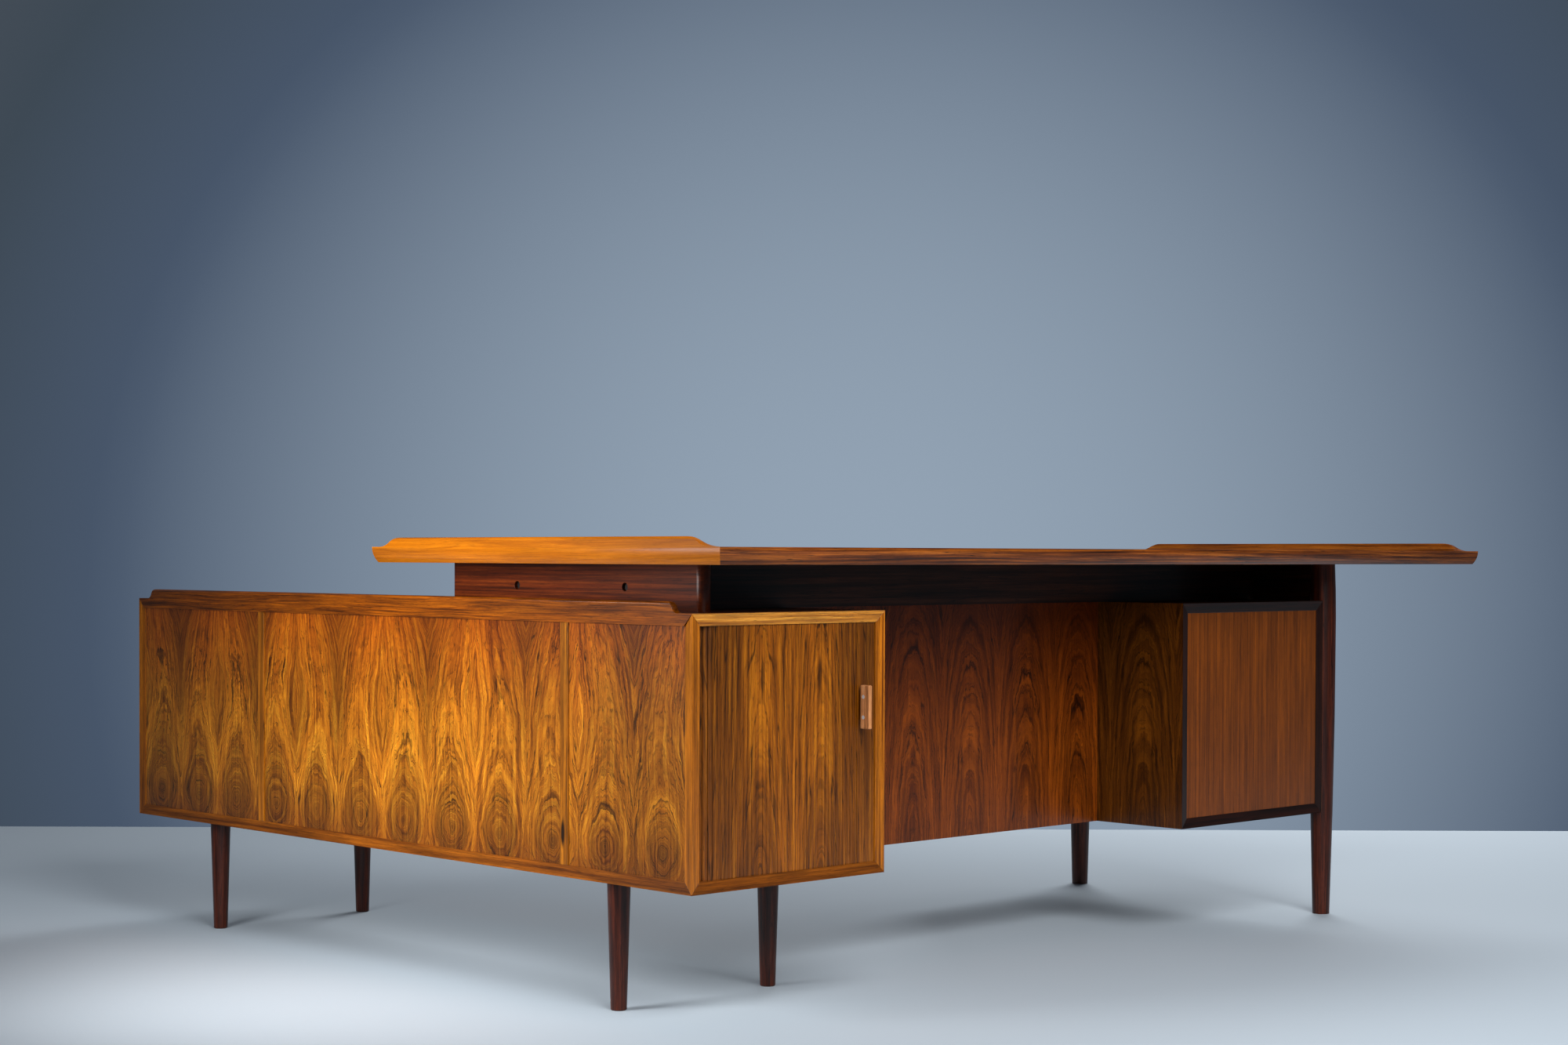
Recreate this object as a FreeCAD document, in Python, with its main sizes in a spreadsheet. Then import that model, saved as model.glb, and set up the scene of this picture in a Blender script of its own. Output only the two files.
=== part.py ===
import FreeCAD, Part

import math
import os
import re

import Sketcher

# Executive desk in rosewood: a long desk top on a riser, two long rails and two turned
# legs, a hanging drawer pedestal, and a low return cabinet on four turned legs.
#
# Frame: +Z up, +X along the desk top, away from the return; +Y from the visitor's side
# to the user's side. The origin is on the floor, in the middle of the overall footprint.
# Millimetres throughout.

SIZES = {
    # desk top
    "desk_length": 2140,
    "desk_depth": 900,
    "desk_height": 735,
    "top_thickness": 27,
    "edge_width": 26,
    "edge_undercut": 8,
    "arris_round": 1.5,
    "lip_rise": 16,
    "lip_crest": 10,
    "lip_round": 4,
    "lip_low_run": 22,
    "lip_ogee_run": 58,
    "desk_overhang": 62,
    # carcasses, alike on the return and the pedestal
    "carcass_floor": 208,
    "board": 19,
    "bevel": 3,
    "panel_recess": 4,
    # return cabinet
    "return_length": 1640,
    "return_width": 420,
    "band_thickness": 12,
    "band_rise": 18,
    "band_round": 4,
    "band_low_run": 34,
    "band_ogee_run": 26,
    "near_divider": 308,
    "far_divider": 1200,
    "strip_width": 20,
    "strip_proud": 2,
    "shelf_thickness": 15,
    "shelf_setback": 54,
    "return_leg_top_radius": 19,
    "return_leg_foot_radius": 13,
    "return_leg_foot_chamfer": 1.5,
    "return_leg_side_inset": 47,
    "return_leg_end_inset": 225,
    # pedestal
    "pedestal_offset": 1288,
    "pedestal_width": 462,
    "pedestal_depth": 664,
    # frame under the desk top
    "riser_height": 74,
    "riser_setback": 78,
    "riser_thickness": 25,
    "riser_length": 647,
    "rail_spacing": 279,
    "rail_thickness": 24,
    "cross_rail_thickness": 20,
    "riser_screw_radius": 3,
    "riser_screw_head_radius": 6,
    "riser_screw_head_height": 5,
    "riser_screw_length": 45,
    "riser_bore_radius": 7,
    "riser_bore_depth": 10,
    "modesty_thickness": 12,
    "modesty_top_gap": 8,
    "modesty_end_gap": 20,
    # turned desk legs
    "desk_leg_spacing": 628,
    "desk_leg_foot_radius": 17,
    "desk_leg_swell_radius": 26,
    "desk_leg_top_radius": 23.5,
    "desk_leg_swell_drop": 108,
    "desk_leg_gap": 0.3,
    # tambour door in the visitor end of the return
    "slat_width": 8,
    "slat_gap": 0.4,
    "slat_ease": 0.5,
    "curtain_thickness": 7,
    "curtain_depth": 5,
    "curtain_turn_radius": 28,
    "curtain_wall_gap": 2,
    "curtain_groove_depth": 5,
    "curtain_groove_clearance": 0.5,
    "curtain_floor_gap": 0.3,
    "stile_width": 40,
    "stile_end_gap": 0.6,
    "lining_thickness": 6,
    "lining_gap": 4,
    # pull on the tambour's lead stile
    "bracket_thickness": 2,
    "bracket_height": 45,
    "bracket_reach": 23,
    "bracket_foot": 18,
    "grip_thickness": 8,
    "grip_depth": 21,
    "grip_height": 71,
    "grip_round": 2.5,
    "grip_edge_inset": 30,
    "grip_drop": 155,
    "grip_screw_radius": 1.7,
    "grip_screw_head_radius": 3.2,
    "grip_screw_head_height": 1.6,
    "grip_screw_spacing": 33,
    "grip_screw_setback": 13,
    # sliding doors
    "door_thickness": 14,
    "door_setback": 20,
    "door_track_gap": 2,
    "door_overlap": 24,
    "door_edge_gap": 1,
    "door_tongue": 6,
    "track_depth": 6,
    "track_clearance": 0.3,
    "door_lift": 2,
    "door_pull_length": 110,
    "door_pull_width": 24,
    "door_pull_depth": 8,
    "door_pull_inset": 30,
    # drawers
    "front_thickness": 18,
    "front_gap": 2,
    "notch_length": 100,
    "notch_depth": 14,
    "drawer_side": 12,
    "drawer_side_gap": 1,
    "drawer_edge_gap": 12,
    "drawer_back_gap": 20,
    "drawer_bottom": 6,
    "drawer_bottom_rise": 8,
    "runner_height": 14,
    "runner_reach": 8,
    "runner_clearance": 0.3,
    "runner_end_gap": 2,
}

# Height and radius of a tall leg's profile, from the foot to the swell and on to the top
LEG_RISE_SHARES = ((0, 0), (1 / 3, 5 / 9), (2 / 3, 8 / 9), (1, 1))
LEG_FALL_SHARES = ((1 / 2, 1 / 4), (1, 1))
PEDESTAL_DRAWER_SHARES = (0.5, 0.25, 0.25)
RETURN_DRAWER_SHARES = (1 / 3, 1 / 3, 1 / 3)

doc = FreeCAD.newDocument("ExecutiveDesk")
sheet = doc.addObject("Spreadsheet::Sheet", "Sizes")
for row, (alias, number) in enumerate(SIZES.items(), start=1):
    sheet.set(f"A{row}", alias)
    sheet.set(f"B{row}", str(number))
    sheet.setAlias(f"B{row}", alias)
doc.recompute()

PIECES = []


def formula(text):
    """Write the cell names in a formula the way the document expects them."""
    return re.sub(r"[a-z_]{3,}", lambda word: f"Sizes.{word.group()}", str(text))


def value(text):
    """The number that a formula gives with the sheet's present sizes."""
    return float(sheet.evalExpression(formula(text)))


def total(*terms):
    """Formula for the sum of several formulas."""
    return "(" + " + ".join(f"({term})" for term in terms) + ")"


def minus(first, *rest):
    """Formula for the first formula less all the others."""
    return "(" + " - ".join(f"({term})" for term in (first, *rest)) + ")"


# Directions

X = FreeCAD.Vector(1, 0, 0)
Y = FreeCAD.Vector(0, 1, 0)
Z = FreeCAD.Vector(0, 0, 1)
UPRIGHT = FreeCAD.Rotation()
HALF_TURN = FreeCAD.Rotation(Z, 180)
ALONG_X = FreeCAD.Rotation(Y, 90)
TURNED_TO_X = FreeCAD.Rotation(Z, -90)
TOWARDS_Y = FreeCAD.Rotation(X, 90)
# A wedge tapers along its own Y: these lay its X, Y and Z on three other axes
TAPER_UP = FreeCAD.Rotation(Y, Z, X, "XYZ")
TAPER_RIGHT = FreeCAD.Rotation(Z, X, Y, "XYZ")

# Where the main pieces stand

return_left = "(-desk_length / 2)"
return_right = total(return_left, "return_width")
return_near = "((desk_overhang - return_length) / 2)"
return_far = total(return_near, "return_length")
return_inner_left = total(return_left, "board")
return_inner_right = minus(return_right, "board")
desk_near = minus(return_near, "desk_overhang")
desk_middle = total(desk_near, "desk_depth / 2")
desk_under = "(desk_height - top_thickness)"
carcass_top = minus(desk_under, "riser_height")
carcass_height = minus(carcass_top, "carcass_floor")
inner_floor = "(carcass_floor + board)"
inner_top = minus(carcass_top, "board")
inner_height = f"({carcass_height} - 2 * board)"
pedestal_left = total(return_left, "pedestal_offset")
pedestal_right = total(pedestal_left, "pedestal_width")
pedestal_near = minus(desk_middle, "pedestal_depth / 2")
pedestal_far = total(pedestal_near, "pedestal_depth")
near_divider_middle = total(return_near, "near_divider")
far_divider_middle = total(return_near, "far_divider")


# Makers of objects

def place(thing, x="0", y="0", z="0", turn=UPRIGHT):
    """Turn an object and tie its position to three formulas."""
    thing.Placement = FreeCAD.Placement(FreeCAD.Vector(), turn)
    for axis, text in zip("xyz", (x, y, z)):
        thing.setExpression(f".Placement.Base.{axis}", formula(text))
    return thing


def make(kind, name, **sizes):
    """Add an object whose named sizes follow formulas."""
    thing = doc.addObject(kind, name)
    for size, text in sizes.items():
        thing.setExpression(size, formula(text))
    return thing


def block(name, x, y, z, length, width, height):
    """Rectangular board with its low corner at x, y, z."""
    return place(make("Part::Box", name, Length=length, Width=width, Height=height), x, y, z)


def between(name, x, y, z):
    """Rectangular board from pairs of low and high formulas."""
    return block(name, x[0], y[0], z[0], minus(x[1], x[0]), minus(y[1], y[0]), minus(z[1], z[0]))


def rod(name, radius, length, x, y, z, turn=UPRIGHT):
    """Round rod that starts at x, y, z."""
    return place(make("Part::Cylinder", name, Radius=radius, Height=length), x, y, z, turn)


def taper(name, base, top, height, x, y, z, turn):
    """Board whose face narrows from one side to the other, as mitred edges make it."""
    wedge = make(
        "Part::Wedge", name, Ymin="0", Ymax=height,
        Xmin=base[0], Xmax=base[1], Zmin=base[2], Zmax=base[3],
        X2min=top[0], X2max=top[1], Z2min=top[2], Z2max=top[3],
    )
    return place(wedge, x, y, z, turn)


def cut(name, base, *tools):
    """Base less each tool in turn."""
    for count, tool in enumerate(tools, start=1):
        label = name if count == len(tools) else f"{name}_cut_{count}"
        base = subtract(label, base, tool)
    return base


def subtract(name, base, tool):
    thing = doc.addObject("Part::Cut", name)
    thing.Base = base
    thing.Tool = tool
    return thing


def fuse(name, *parts):
    """Several solids as one, with no seams left on flat faces."""
    thing = doc.addObject("Part::MultiFuse", name)
    thing.Shapes = list(parts)
    thing.Refine = True
    return thing


def common(name, *parts):
    """What several solids share."""
    thing = doc.addObject("Part::MultiCommon", name)
    thing.Shapes = list(parts)
    return thing


def group(name, *parts):
    """Separate solids kept together as one sub-part."""
    thing = doc.addObject("Part::Compound", name)
    thing.Links = list(parts)
    return thing


def piece(name, thing):
    """Name a finished sub-part."""
    thing.Label = name
    PIECES.append(thing)
    return thing


def sketch_on(body, role, corners, arcs=None):
    """Closed outline whose corners follow formulas, drawn on one of the body's planes.

    arcs names the sides that are arcs: side number to (axis, formula), where the formula
    is the arc centre's coordinate along that axis of the sketch.
    """
    arcs = arcs or {}
    sketch = body.newObject("Sketcher::SketchObject", f"{body.Name}_outline")
    plane = next(item for item in body.Origin.OriginFeatures if item.Role == role)
    sketch.AttachmentSupport = (plane, [""])
    sketch.MapMode = "FlatFace"
    points = [FreeCAD.Vector(value(x), value(y), 0) for x, y in corners]
    ends = []
    for side, start in enumerate(points):
        finish = points[(side + 1) % len(points)]
        if side in arcs:
            curve, order = arc_between(start, finish, *arcs[side])
        else:
            curve, order = Part.LineSegment(start, finish), (1, 2)
        sketch.addGeometry(curve)
        ends.append(order)
    for side, (first, last) in enumerate(ends):
        following = (side + 1) % len(ends)
        sketch.addConstraint(
            Sketcher.Constraint("Coincident", side, last, following, ends[following][0])
        )
        tie(sketch, "DistanceX", side, first, corners[side][0])
        tie(sketch, "DistanceY", side, first, corners[side][1])
        if side in arcs:
            axis, text = arcs[side]
            tie(sketch, "DistanceX" if axis == "x" else "DistanceY", side, 3, text)
    return sketch


def tie(sketch, kind, side, point, text):
    """Hold one coordinate of a sketch point to a formula."""
    index = sketch.addConstraint(Sketcher.Constraint(kind, side, point, value(text)))
    sketch.setExpression(f"Constraints[{index}]", formula(text))


def arc_between(start, finish, axis, text):
    """Short arc through two points, given one coordinate of its centre.

    Arcs run anticlockwise, so the second result says which of the arc's ends is the start.
    """
    known = value(text)
    chord = finish - start
    middle = (start + finish) * 0.5
    if axis == "x":
        centre = FreeCAD.Vector(known, middle.y - (known - middle.x) * chord.x / chord.y, 0)
    else:
        centre = FreeCAD.Vector(middle.x - (known - middle.y) * chord.y / chord.x, known, 0)
    angles = [math.atan2(point.y - centre.y, point.x - centre.x) for point in (start, finish)]
    order = (1, 2)
    if (angles[1] - angles[0]) % (2 * math.pi) > math.pi:
        angles.reverse()
        order = (2, 1)
    if angles[1] < angles[0]:
        angles[1] += 2 * math.pi
    circle = Part.Circle(centre, Z, (start - centre).Length)
    return Part.ArcOfCircle(circle, *angles), order


def padded(name, role, corners, length, arcs=None, reverse=False):
    """Outline carried straight for a length."""
    body = doc.addObject("PartDesign::Body", name)
    sketch = sketch_on(body, role, corners, arcs)
    pad = body.newObject("PartDesign::Pad", f"{name}_pad")
    pad.Profile = sketch
    pad.setExpression("Length", formula(length))
    pad.Reversed = reverse
    sketch.Visibility = False
    return body


def turned(name, corners, arcs=None):
    """Outline of half a turned leg, spun about its upright axis."""
    body = doc.addObject("PartDesign::Body", name)
    sketch = sketch_on(body, "XZ_Plane", corners, arcs)
    spin = body.newObject("PartDesign::Revolution", f"{name}_turning")
    spin.Profile = sketch
    spin.ReferenceAxis = (sketch, ["V_Axis"])
    spin.Angle = 360
    return body


# Desk top: a veneered panel inside four solid edges, mitred at the corners

piece("desk_top_panel", block(
    "desk_top_panel", total(return_left, "edge_width"), total(desk_near, "edge_width"), desk_under,
    "desk_length - 2 * edge_width", "desk_depth - 2 * edge_width", "top_thickness"))


def long_edge(name, x, y, turn):
    """Solid edge along a long side: upright at the arris, drawn in below."""
    section = padded(
        f"{name}_section", "YZ_Plane",
        [("edge_undercut", "0"), ("edge_width", "0"), ("edge_width", "top_thickness"),
         ("arris_round", "top_thickness"), ("0", "top_thickness - arris_round")],
        "desk_length",
        {3: ("x", "arris_round"), 4: ("y", "top_thickness - arris_round")})
    plan = taper(
        f"{name}_mitres", ("0", "top_thickness", "0", "desk_length"),
        ("0", "top_thickness", "edge_width", "desk_length - edge_width"),
        "edge_width", "0", "0", "0", FreeCAD.Rotation(Z, Y, X * -1, "XYZ"))
    plan.setExpression(".Placement.Base.x", formula("desk_length"))
    return piece(name, place(common(name, section, plan), x, y, desk_under, turn))


long_edge("desk_visitor_edge", return_left, desk_near, UPRIGHT)
long_edge("desk_user_edge", total(return_left, "desk_length"), total(desk_near, "desk_depth"), HALF_TURN)


def ogee_corners(length, low, rise, low_run, ogee_run):
    """Upper outline of a raised edge, from its far end to its near end."""
    start = minus(length, low_run)
    crest = minus(length, low_run, ogee_run)
    return [
        (length, low), (start, low),
        (minus(start, f"{ogee_run} / 2"), total(low, f"{rise} / 2")), (crest, total(low, rise)),
        (total(low_run, ogee_run), total(low, rise)),
        (total(low_run, f"{ogee_run} / 2"), total(low, f"{rise} / 2")), (low_run, low), ("0", low),
    ]


def ogee_arcs(first, length, low_run, ogee_run):
    """Centres of the four arcs of that outline, whose first corner has the given number."""
    return {
        first + 1: ("x", minus(length, low_run)),
        first + 2: ("x", minus(length, low_run, ogee_run)),
        first + 4: ("x", total(low_run, ogee_run)),
        first + 5: ("x", low_run),
    }


def end_lip(name, x, y, turn):
    """Raised end of the desk top: an ogee at both ends and a cove down to the top."""
    crest = "(top_thickness + lip_rise)"
    elevation = padded(
        f"{name}_elevation", "YZ_Plane",
        [("0", "0"), ("desk_depth", "0")]
        + ogee_corners("desk_depth", "top_thickness", "lip_rise", "lip_low_run", "lip_ogee_run"),
        "edge_width", ogee_arcs(2, "desk_depth", "lip_low_run", "lip_ogee_run"))
    section = padded(
        f"{name}_section", "XZ_Plane",
        [("edge_undercut", "0"), ("edge_width", "0"), ("edge_width", "top_thickness"),
         ("lip_crest", crest), ("lip_round", crest), ("0", f"{crest} - lip_round"),
         ("0", "top_thickness - arris_round")],
        "desk_depth",
        {2: ("x", "edge_width"), 4: ("x", "lip_round"), 6: ("y", "top_thickness - arris_round")},
        reverse=True)
    plan = taper(
        f"{name}_mitres", ("0", crest, "0", "desk_depth"),
        ("0", crest, "edge_width", "desk_depth - edge_width"),
        "edge_width", "0", "0", "0", TAPER_RIGHT)
    return piece(name, place(common(name, elevation, section, plan), x, y, desk_under, turn))


end_lip("desk_left_lip", return_left, desk_near, UPRIGHT)
end_lip("desk_right_lip", total(return_left, "desk_length"), total(desk_near, "desk_depth"), HALF_TURN)


# Turned legs

def desk_leg(name, side):
    """Full-height leg that swells to its widest a little below the desk top."""
    swell = "(desk_leg_swell_radius - desk_leg_foot_radius)"
    neck = "(desk_leg_swell_radius - desk_leg_top_radius)"
    rise = [(total("desk_leg_foot_radius", f"{wider} * {swell}"), f"{up} * {desk_leg_swell_height}")
            for up, wider in LEG_RISE_SHARES]
    fall = [(minus("desk_leg_swell_radius", f"{slimmer} * {neck}"),
             total(desk_leg_swell_height, f"{up} * desk_leg_swell_drop"))
            for up, slimmer in LEG_FALL_SHARES]
    leg = turned(name, [("0", "0"), *rise, *fall, ("0", desk_under)])
    return piece(name, place(leg, desk_leg_middle, total(desk_middle, f"{side} * desk_leg_spacing / 2"), "0"))


desk_leg_middle = total(pedestal_right, "desk_leg_swell_radius", "desk_leg_gap")
desk_leg_swell_height = minus(desk_under, "desk_leg_swell_drop")
visitor_leg = desk_leg("desk_leg_visitor", -1)
user_leg = desk_leg("desk_leg_user", 1)


def return_leg(name, x, y):
    """Short tapered leg with a chamfered foot."""
    leg = turned(
        name,
        [("0", "0"), ("return_leg_foot_radius - return_leg_foot_chamfer", "0"),
         ("return_leg_foot_radius", "return_leg_foot_chamfer"),
         ("return_leg_top_radius", "carcass_floor"), ("0", "carcass_floor")])
    return piece(name, place(leg, x, y, "0"))


for end, leg_y in (("near", total(return_near, "return_leg_end_inset")),
                   ("far", minus(return_far, "return_leg_end_inset"))):
    return_leg(f"return_leg_{end}_outer", total(return_left, "return_leg_side_inset"), leg_y)
    return_leg(f"return_leg_{end}_user", minus(return_right, "return_leg_side_inset"), leg_y)


# Frame under the desk top: riser on the return, two long rails, and a rail between the legs

riser_left = total(return_left, "riser_setback")
riser_right = total(riser_left, "riser_thickness")
riser_near = minus(desk_middle, "riser_length / 2")
rail_end = minus(desk_leg_middle, "cross_rail_thickness / 2")
apron_middle = minus(desk_middle, "rail_spacing / 2")
inner_rail_middle = total(desk_middle, "rail_spacing / 2")
riser_screw_height = total(carcass_top, "riser_height / 2")

screws = []
bores = []
for count, screw_y in enumerate((apron_middle, inner_rail_middle), start=1):
    shank = rod(
        f"riser_screw_shank_{count}", "riser_screw_radius", "riser_screw_length",
        total(riser_left, "riser_bore_depth"), screw_y, riser_screw_height, ALONG_X)
    head = rod(
        f"riser_screw_head_{count}", "riser_screw_head_radius", "riser_screw_head_height",
        total(riser_left, "riser_bore_depth - riser_screw_head_height"),
        screw_y, riser_screw_height, ALONG_X)
    screws.append(fuse(f"riser_screw_{count}", shank, head))
    bores.append(rod(
        f"riser_bore_{count}", "riser_bore_radius", "riser_bore_depth",
        riser_left, screw_y, riser_screw_height, ALONG_X))
riser_screws = piece("riser_screws", group("riser_screws", *screws))

riser_core = block(
    "riser_core", riser_left, total(riser_near, "riser_thickness / 2"), carcass_top,
    "riser_thickness", "riser_length - riser_thickness", "riser_height")
riser_ends = [
    rod(f"riser_end_{end}", "riser_thickness / 2", "riser_height",
        total(riser_left, "riser_thickness / 2"), end_y, carcass_top)
    for end, end_y in (("near", total(riser_near, "riser_thickness / 2")),
                       ("far", total(riser_near, "riser_length - riser_thickness / 2")))
]
piece("riser_board", cut(
    "riser_board", fuse("riser_blank", riser_core, *riser_ends), *bores, riser_screws))

for rail_name, rail_middle in (("apron_rail", apron_middle), ("inner_rail", inner_rail_middle)):
    rail = between(
        f"{rail_name}_blank", (riser_right, rail_end),
        (minus(rail_middle, "rail_thickness / 2"), total(rail_middle, "rail_thickness / 2")),
        (carcass_top, desk_under))
    piece(rail_name, cut(rail_name, rail, riser_screws))

cross_rail = between(
    "leg_cross_rail_blank", (rail_end, total(rail_end, "cross_rail_thickness")),
    (minus(desk_middle, "desk_leg_spacing / 2"), total(desk_middle, "desk_leg_spacing / 2")),
    (carcass_top, desk_under))
piece("leg_cross_rail", cut("leg_cross_rail", cross_rail, visitor_leg, user_leg))

apron_back = total(apron_middle, "rail_thickness / 2")
piece("modesty_panel", between(
    "modesty_panel", (total(return_right, "modesty_end_gap"), pedestal_left),
    (apron_back, total(apron_back, "modesty_thickness")),
    ("carcass_floor", minus(desk_under, "modesty_top_gap"))))


# Bevelled lippings: every framed face has four bars, mitred where they meet

def shifted(corner, direction, distance):
    """Corner moved by a formula along a unit direction."""
    return [total(text, f"{int(step)} * ({distance})") if step else text
            for text, step in zip(corner, direction)]


def lipping(name, run, outward, corner, length):
    """One bar: an arris on the outside, sloping in to the panel, cut at 45 degrees behind."""
    depth = run.cross(outward)
    x, y, z = shifted(corner, outward, "-board")
    return taper(
        name, ("board", f"({length}) - board", "bevel", "board"), ("0", length, "0", "0"),
        "board", x, y, z, FreeCAD.Rotation(run, outward, depth, "XYZ"))


def face_lippings(name, right, corner, width, sides=("bottom", "top", "left", "right")):
    """Bars round a face seen from outside, whose lower left corner and width are given."""
    opposite = shifted(corner, right, width)
    height = carcass_height
    bars = {
        "bottom": (right, Z * -1, corner, width),
        "top": (right * -1, Z, shifted(opposite, Z, height), width),
        "left": (Z * -1, right * -1, shifted(corner, Z, height), height),
        "right": (Z, right, opposite, height),
    }
    return {side: lipping(f"{name}_{side}", *bars[side]) for side in sides}


# Return cabinet: carcass

visitor_face = face_lippings(
    "return_visitor", X, [return_left, return_near, "carcass_floor"], "return_width")
user_face = face_lippings(
    "return_user", Y, [return_right, return_near, "carcass_floor"], "return_length")
far_face = face_lippings(
    "return_far", X * -1, [return_right, return_far, "carcass_floor"], "return_width")
outer_face = face_lippings(
    "return_outer", Y * -1, [return_left, return_far, "carcass_floor"], "return_length",
    ("bottom", "left", "right"))

piece("return_corner_posts", group(
    "return_corner_posts",
    fuse("post_near_outer", visitor_face["left"], outer_face["right"]),
    fuse("post_near_user", visitor_face["right"], user_face["left"]),
    fuse("post_far_user", user_face["right"], far_face["left"]),
    fuse("post_far_outer", far_face["right"], outer_face["left"])))

# Groove of the tambour: along the visitor end, round the corner, and along the outer side

curtain_front = total(return_near, "curtain_depth")
curtain_middle = total(curtain_front, "curtain_thickness / 2")
stored_middle = total(return_inner_left, "curtain_wall_gap + curtain_thickness / 2")
turn_x = total(stored_middle, "curtain_turn_radius")
turn_y = total(curtain_middle, "curtain_turn_radius")
groove_half = "(curtain_thickness / 2 + curtain_groove_clearance)"
near_bay_far = minus(near_divider_middle, "board / 2")


def curtain_groove(name, z):
    """Tool for one groove, as deep as the grooves are."""
    depth = "curtain_groove_depth"
    front_run = between(
        f"{name}_front_run", (turn_x, return_inner_right),
        (minus(curtain_middle, groove_half), total(curtain_middle, groove_half)),
        (z, total(z, depth)))
    side_run = between(
        f"{name}_side_run",
        (minus(stored_middle, groove_half), total(stored_middle, groove_half)),
        (turn_y, near_bay_far), (z, total(z, depth)))
    outside = rod(f"{name}_outside", total("curtain_turn_radius", groove_half), depth,
                  turn_x, turn_y, z, HALF_TURN)
    inside = rod(f"{name}_inside", minus("curtain_turn_radius", groove_half), depth,
                 turn_x, turn_y, z, HALF_TURN)
    outside.Angle = 90
    return fuse(name, front_run, side_run, subtract(f"{name}_turn", outside, inside))


lower_groove = curtain_groove("lower_curtain_groove", minus(inner_floor, "curtain_groove_depth"))
upper_groove = curtain_groove("upper_curtain_groove", inner_top)

piece("return_top_rails", group(
    "return_top_rails", cut("return_visitor_top_rail", visitor_face["top"], upper_groove),
    user_face["top"], far_face["top"]))
piece("return_bottom_rails", group(
    "return_bottom_rails", cut("return_visitor_bottom_rail", visitor_face["bottom"], lower_groove),
    user_face["bottom"], far_face["bottom"], outer_face["bottom"]))

# Door tracks, between the two partitions

centre_bay_near = total(near_divider_middle, "board / 2")
centre_bay_far = minus(far_divider_middle, "board / 2")
outer_door_right = minus(return_right, "door_setback")
inner_door_right = minus(outer_door_right, "door_thickness + door_track_gap")


def door_tracks(name, z):
    """Tools for the two grooves that the doors' tongues run in."""
    tracks = []
    for track, door_right in (("outer", outer_door_right), ("inner", inner_door_right)):
        middle = minus(door_right, "door_thickness / 2")
        tracks.append(between(
            f"{name}_{track}",
            (minus(middle, "door_tongue / 2 + track_clearance"),
             total(middle, "door_tongue / 2 + track_clearance")),
            (centre_bay_near, centre_bay_far), (z, total(z, "track_depth"))))
    return tracks


top_blank = taper(
    "return_top_blank", ("board", "return_length - board", "band_thickness", "return_width - board"),
    ("0", "return_length", "band_thickness", "return_width"), "board",
    return_left, return_near, inner_top, TAPER_UP)
piece("return_top", cut("return_top", top_blank, upper_groove, *door_tracks("upper_track", inner_top)))

bottom_blank = taper(
    "return_bottom_blank", ("0", "return_length", "0", "return_width"),
    ("board", "return_length - board", "board", "return_width - board"), "board",
    return_left, return_near, "carcass_floor", TAPER_UP)
piece("return_bottom", cut(
    "return_bottom", bottom_blank, lower_groove,
    *door_tracks("lower_track", minus(inner_floor, "track_depth"))))

# Raised band along the outer side, whose lower corners are mitred into the posts

band_crest = "(board + band_rise)"
band_elevation = padded(
    "return_lip_band_elevation", "YZ_Plane",
    [("board", "0"), ("return_length - board", "0")]
    + ogee_corners("return_length", "board", "band_rise", "band_low_run", "band_ogee_run"),
    "band_thickness", ogee_arcs(2, "return_length", "band_low_run", "band_ogee_run"))
band_section = padded(
    "return_lip_band_section", "XZ_Plane",
    [("0", "0"), ("band_thickness", "0"), ("band_thickness", f"{band_crest} - band_round"),
     ("band_thickness - band_round", band_crest), ("band_round", band_crest),
     ("0", f"{band_crest} - band_round")],
    "return_length",
    {2: ("x", "band_thickness - band_round"), 4: ("x", "band_round")}, reverse=True)
piece("return_lip_band", place(
    common("return_lip_band", band_elevation, band_section), return_left, return_near, inner_top))

# Panels, strips and partitions

bay_height = (inner_floor, inner_top)
outer_panel = (total(return_left, "panel_recess"), return_inner_left)
strip_half = "strip_width / 2"
for panel_name, panel_near, panel_far in (
        ("near", total(return_near, "board"), minus(near_divider_middle, strip_half)),
        ("middle", total(near_divider_middle, strip_half), minus(far_divider_middle, strip_half)),
        ("far", total(far_divider_middle, strip_half), minus(return_far, "board"))):
    piece(f"return_outer_panel_{panel_name}", between(
        f"return_outer_panel_{panel_name}", outer_panel, (panel_near, panel_far), bay_height))

strips = [
    between(f"divider_strip_{end}", (total(return_left, "panel_recess - strip_proud"), return_inner_left),
            (minus(middle, strip_half), total(middle, strip_half)), bay_height)
    for end, middle in (("near", near_divider_middle), ("far", far_divider_middle))
]
piece("return_divider_strips", group("return_divider_strips", *strips))

partitions = [
    between(f"partition_{end}", (return_inner_left, minus(return_right, "panel_recess")),
            (minus(middle, "board / 2"), total(middle, "board / 2")), bay_height)
    for end, middle in (("near", near_divider_middle), ("far", far_divider_middle))
]
piece("return_partitions", group("return_partitions", *partitions))

piece("return_far_end_panel", between(
    "return_far_end_panel", (return_inner_left, return_inner_right),
    (minus(return_far, "board"), minus(return_far, "panel_recess")), bay_height))
piece("return_user_fixed_panel", between(
    "return_user_fixed_panel", (return_inner_right, minus(return_right, "panel_recess")),
    (total(return_near, "board"), near_bay_far), bay_height))

piece("return_shelf", between(
    "return_shelf", (return_inner_left, minus(return_right, "shelf_setback")),
    (centre_bay_near, centre_bay_far),
    (total(inner_floor, f"({inner_height} - shelf_thickness) / 2"),
     total(inner_floor, f"({inner_height} + shelf_thickness) / 2"))))

lining_left = total(stored_middle, "curtain_thickness / 2 + lining_gap")
piece("tambour_lining", between(
    "tambour_lining", (lining_left, total(lining_left, "lining_thickness")),
    (turn_y, near_bay_far), bay_height))

# Tambour: slats on a cloth backing, drawn along by a wider lead stile

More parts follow.
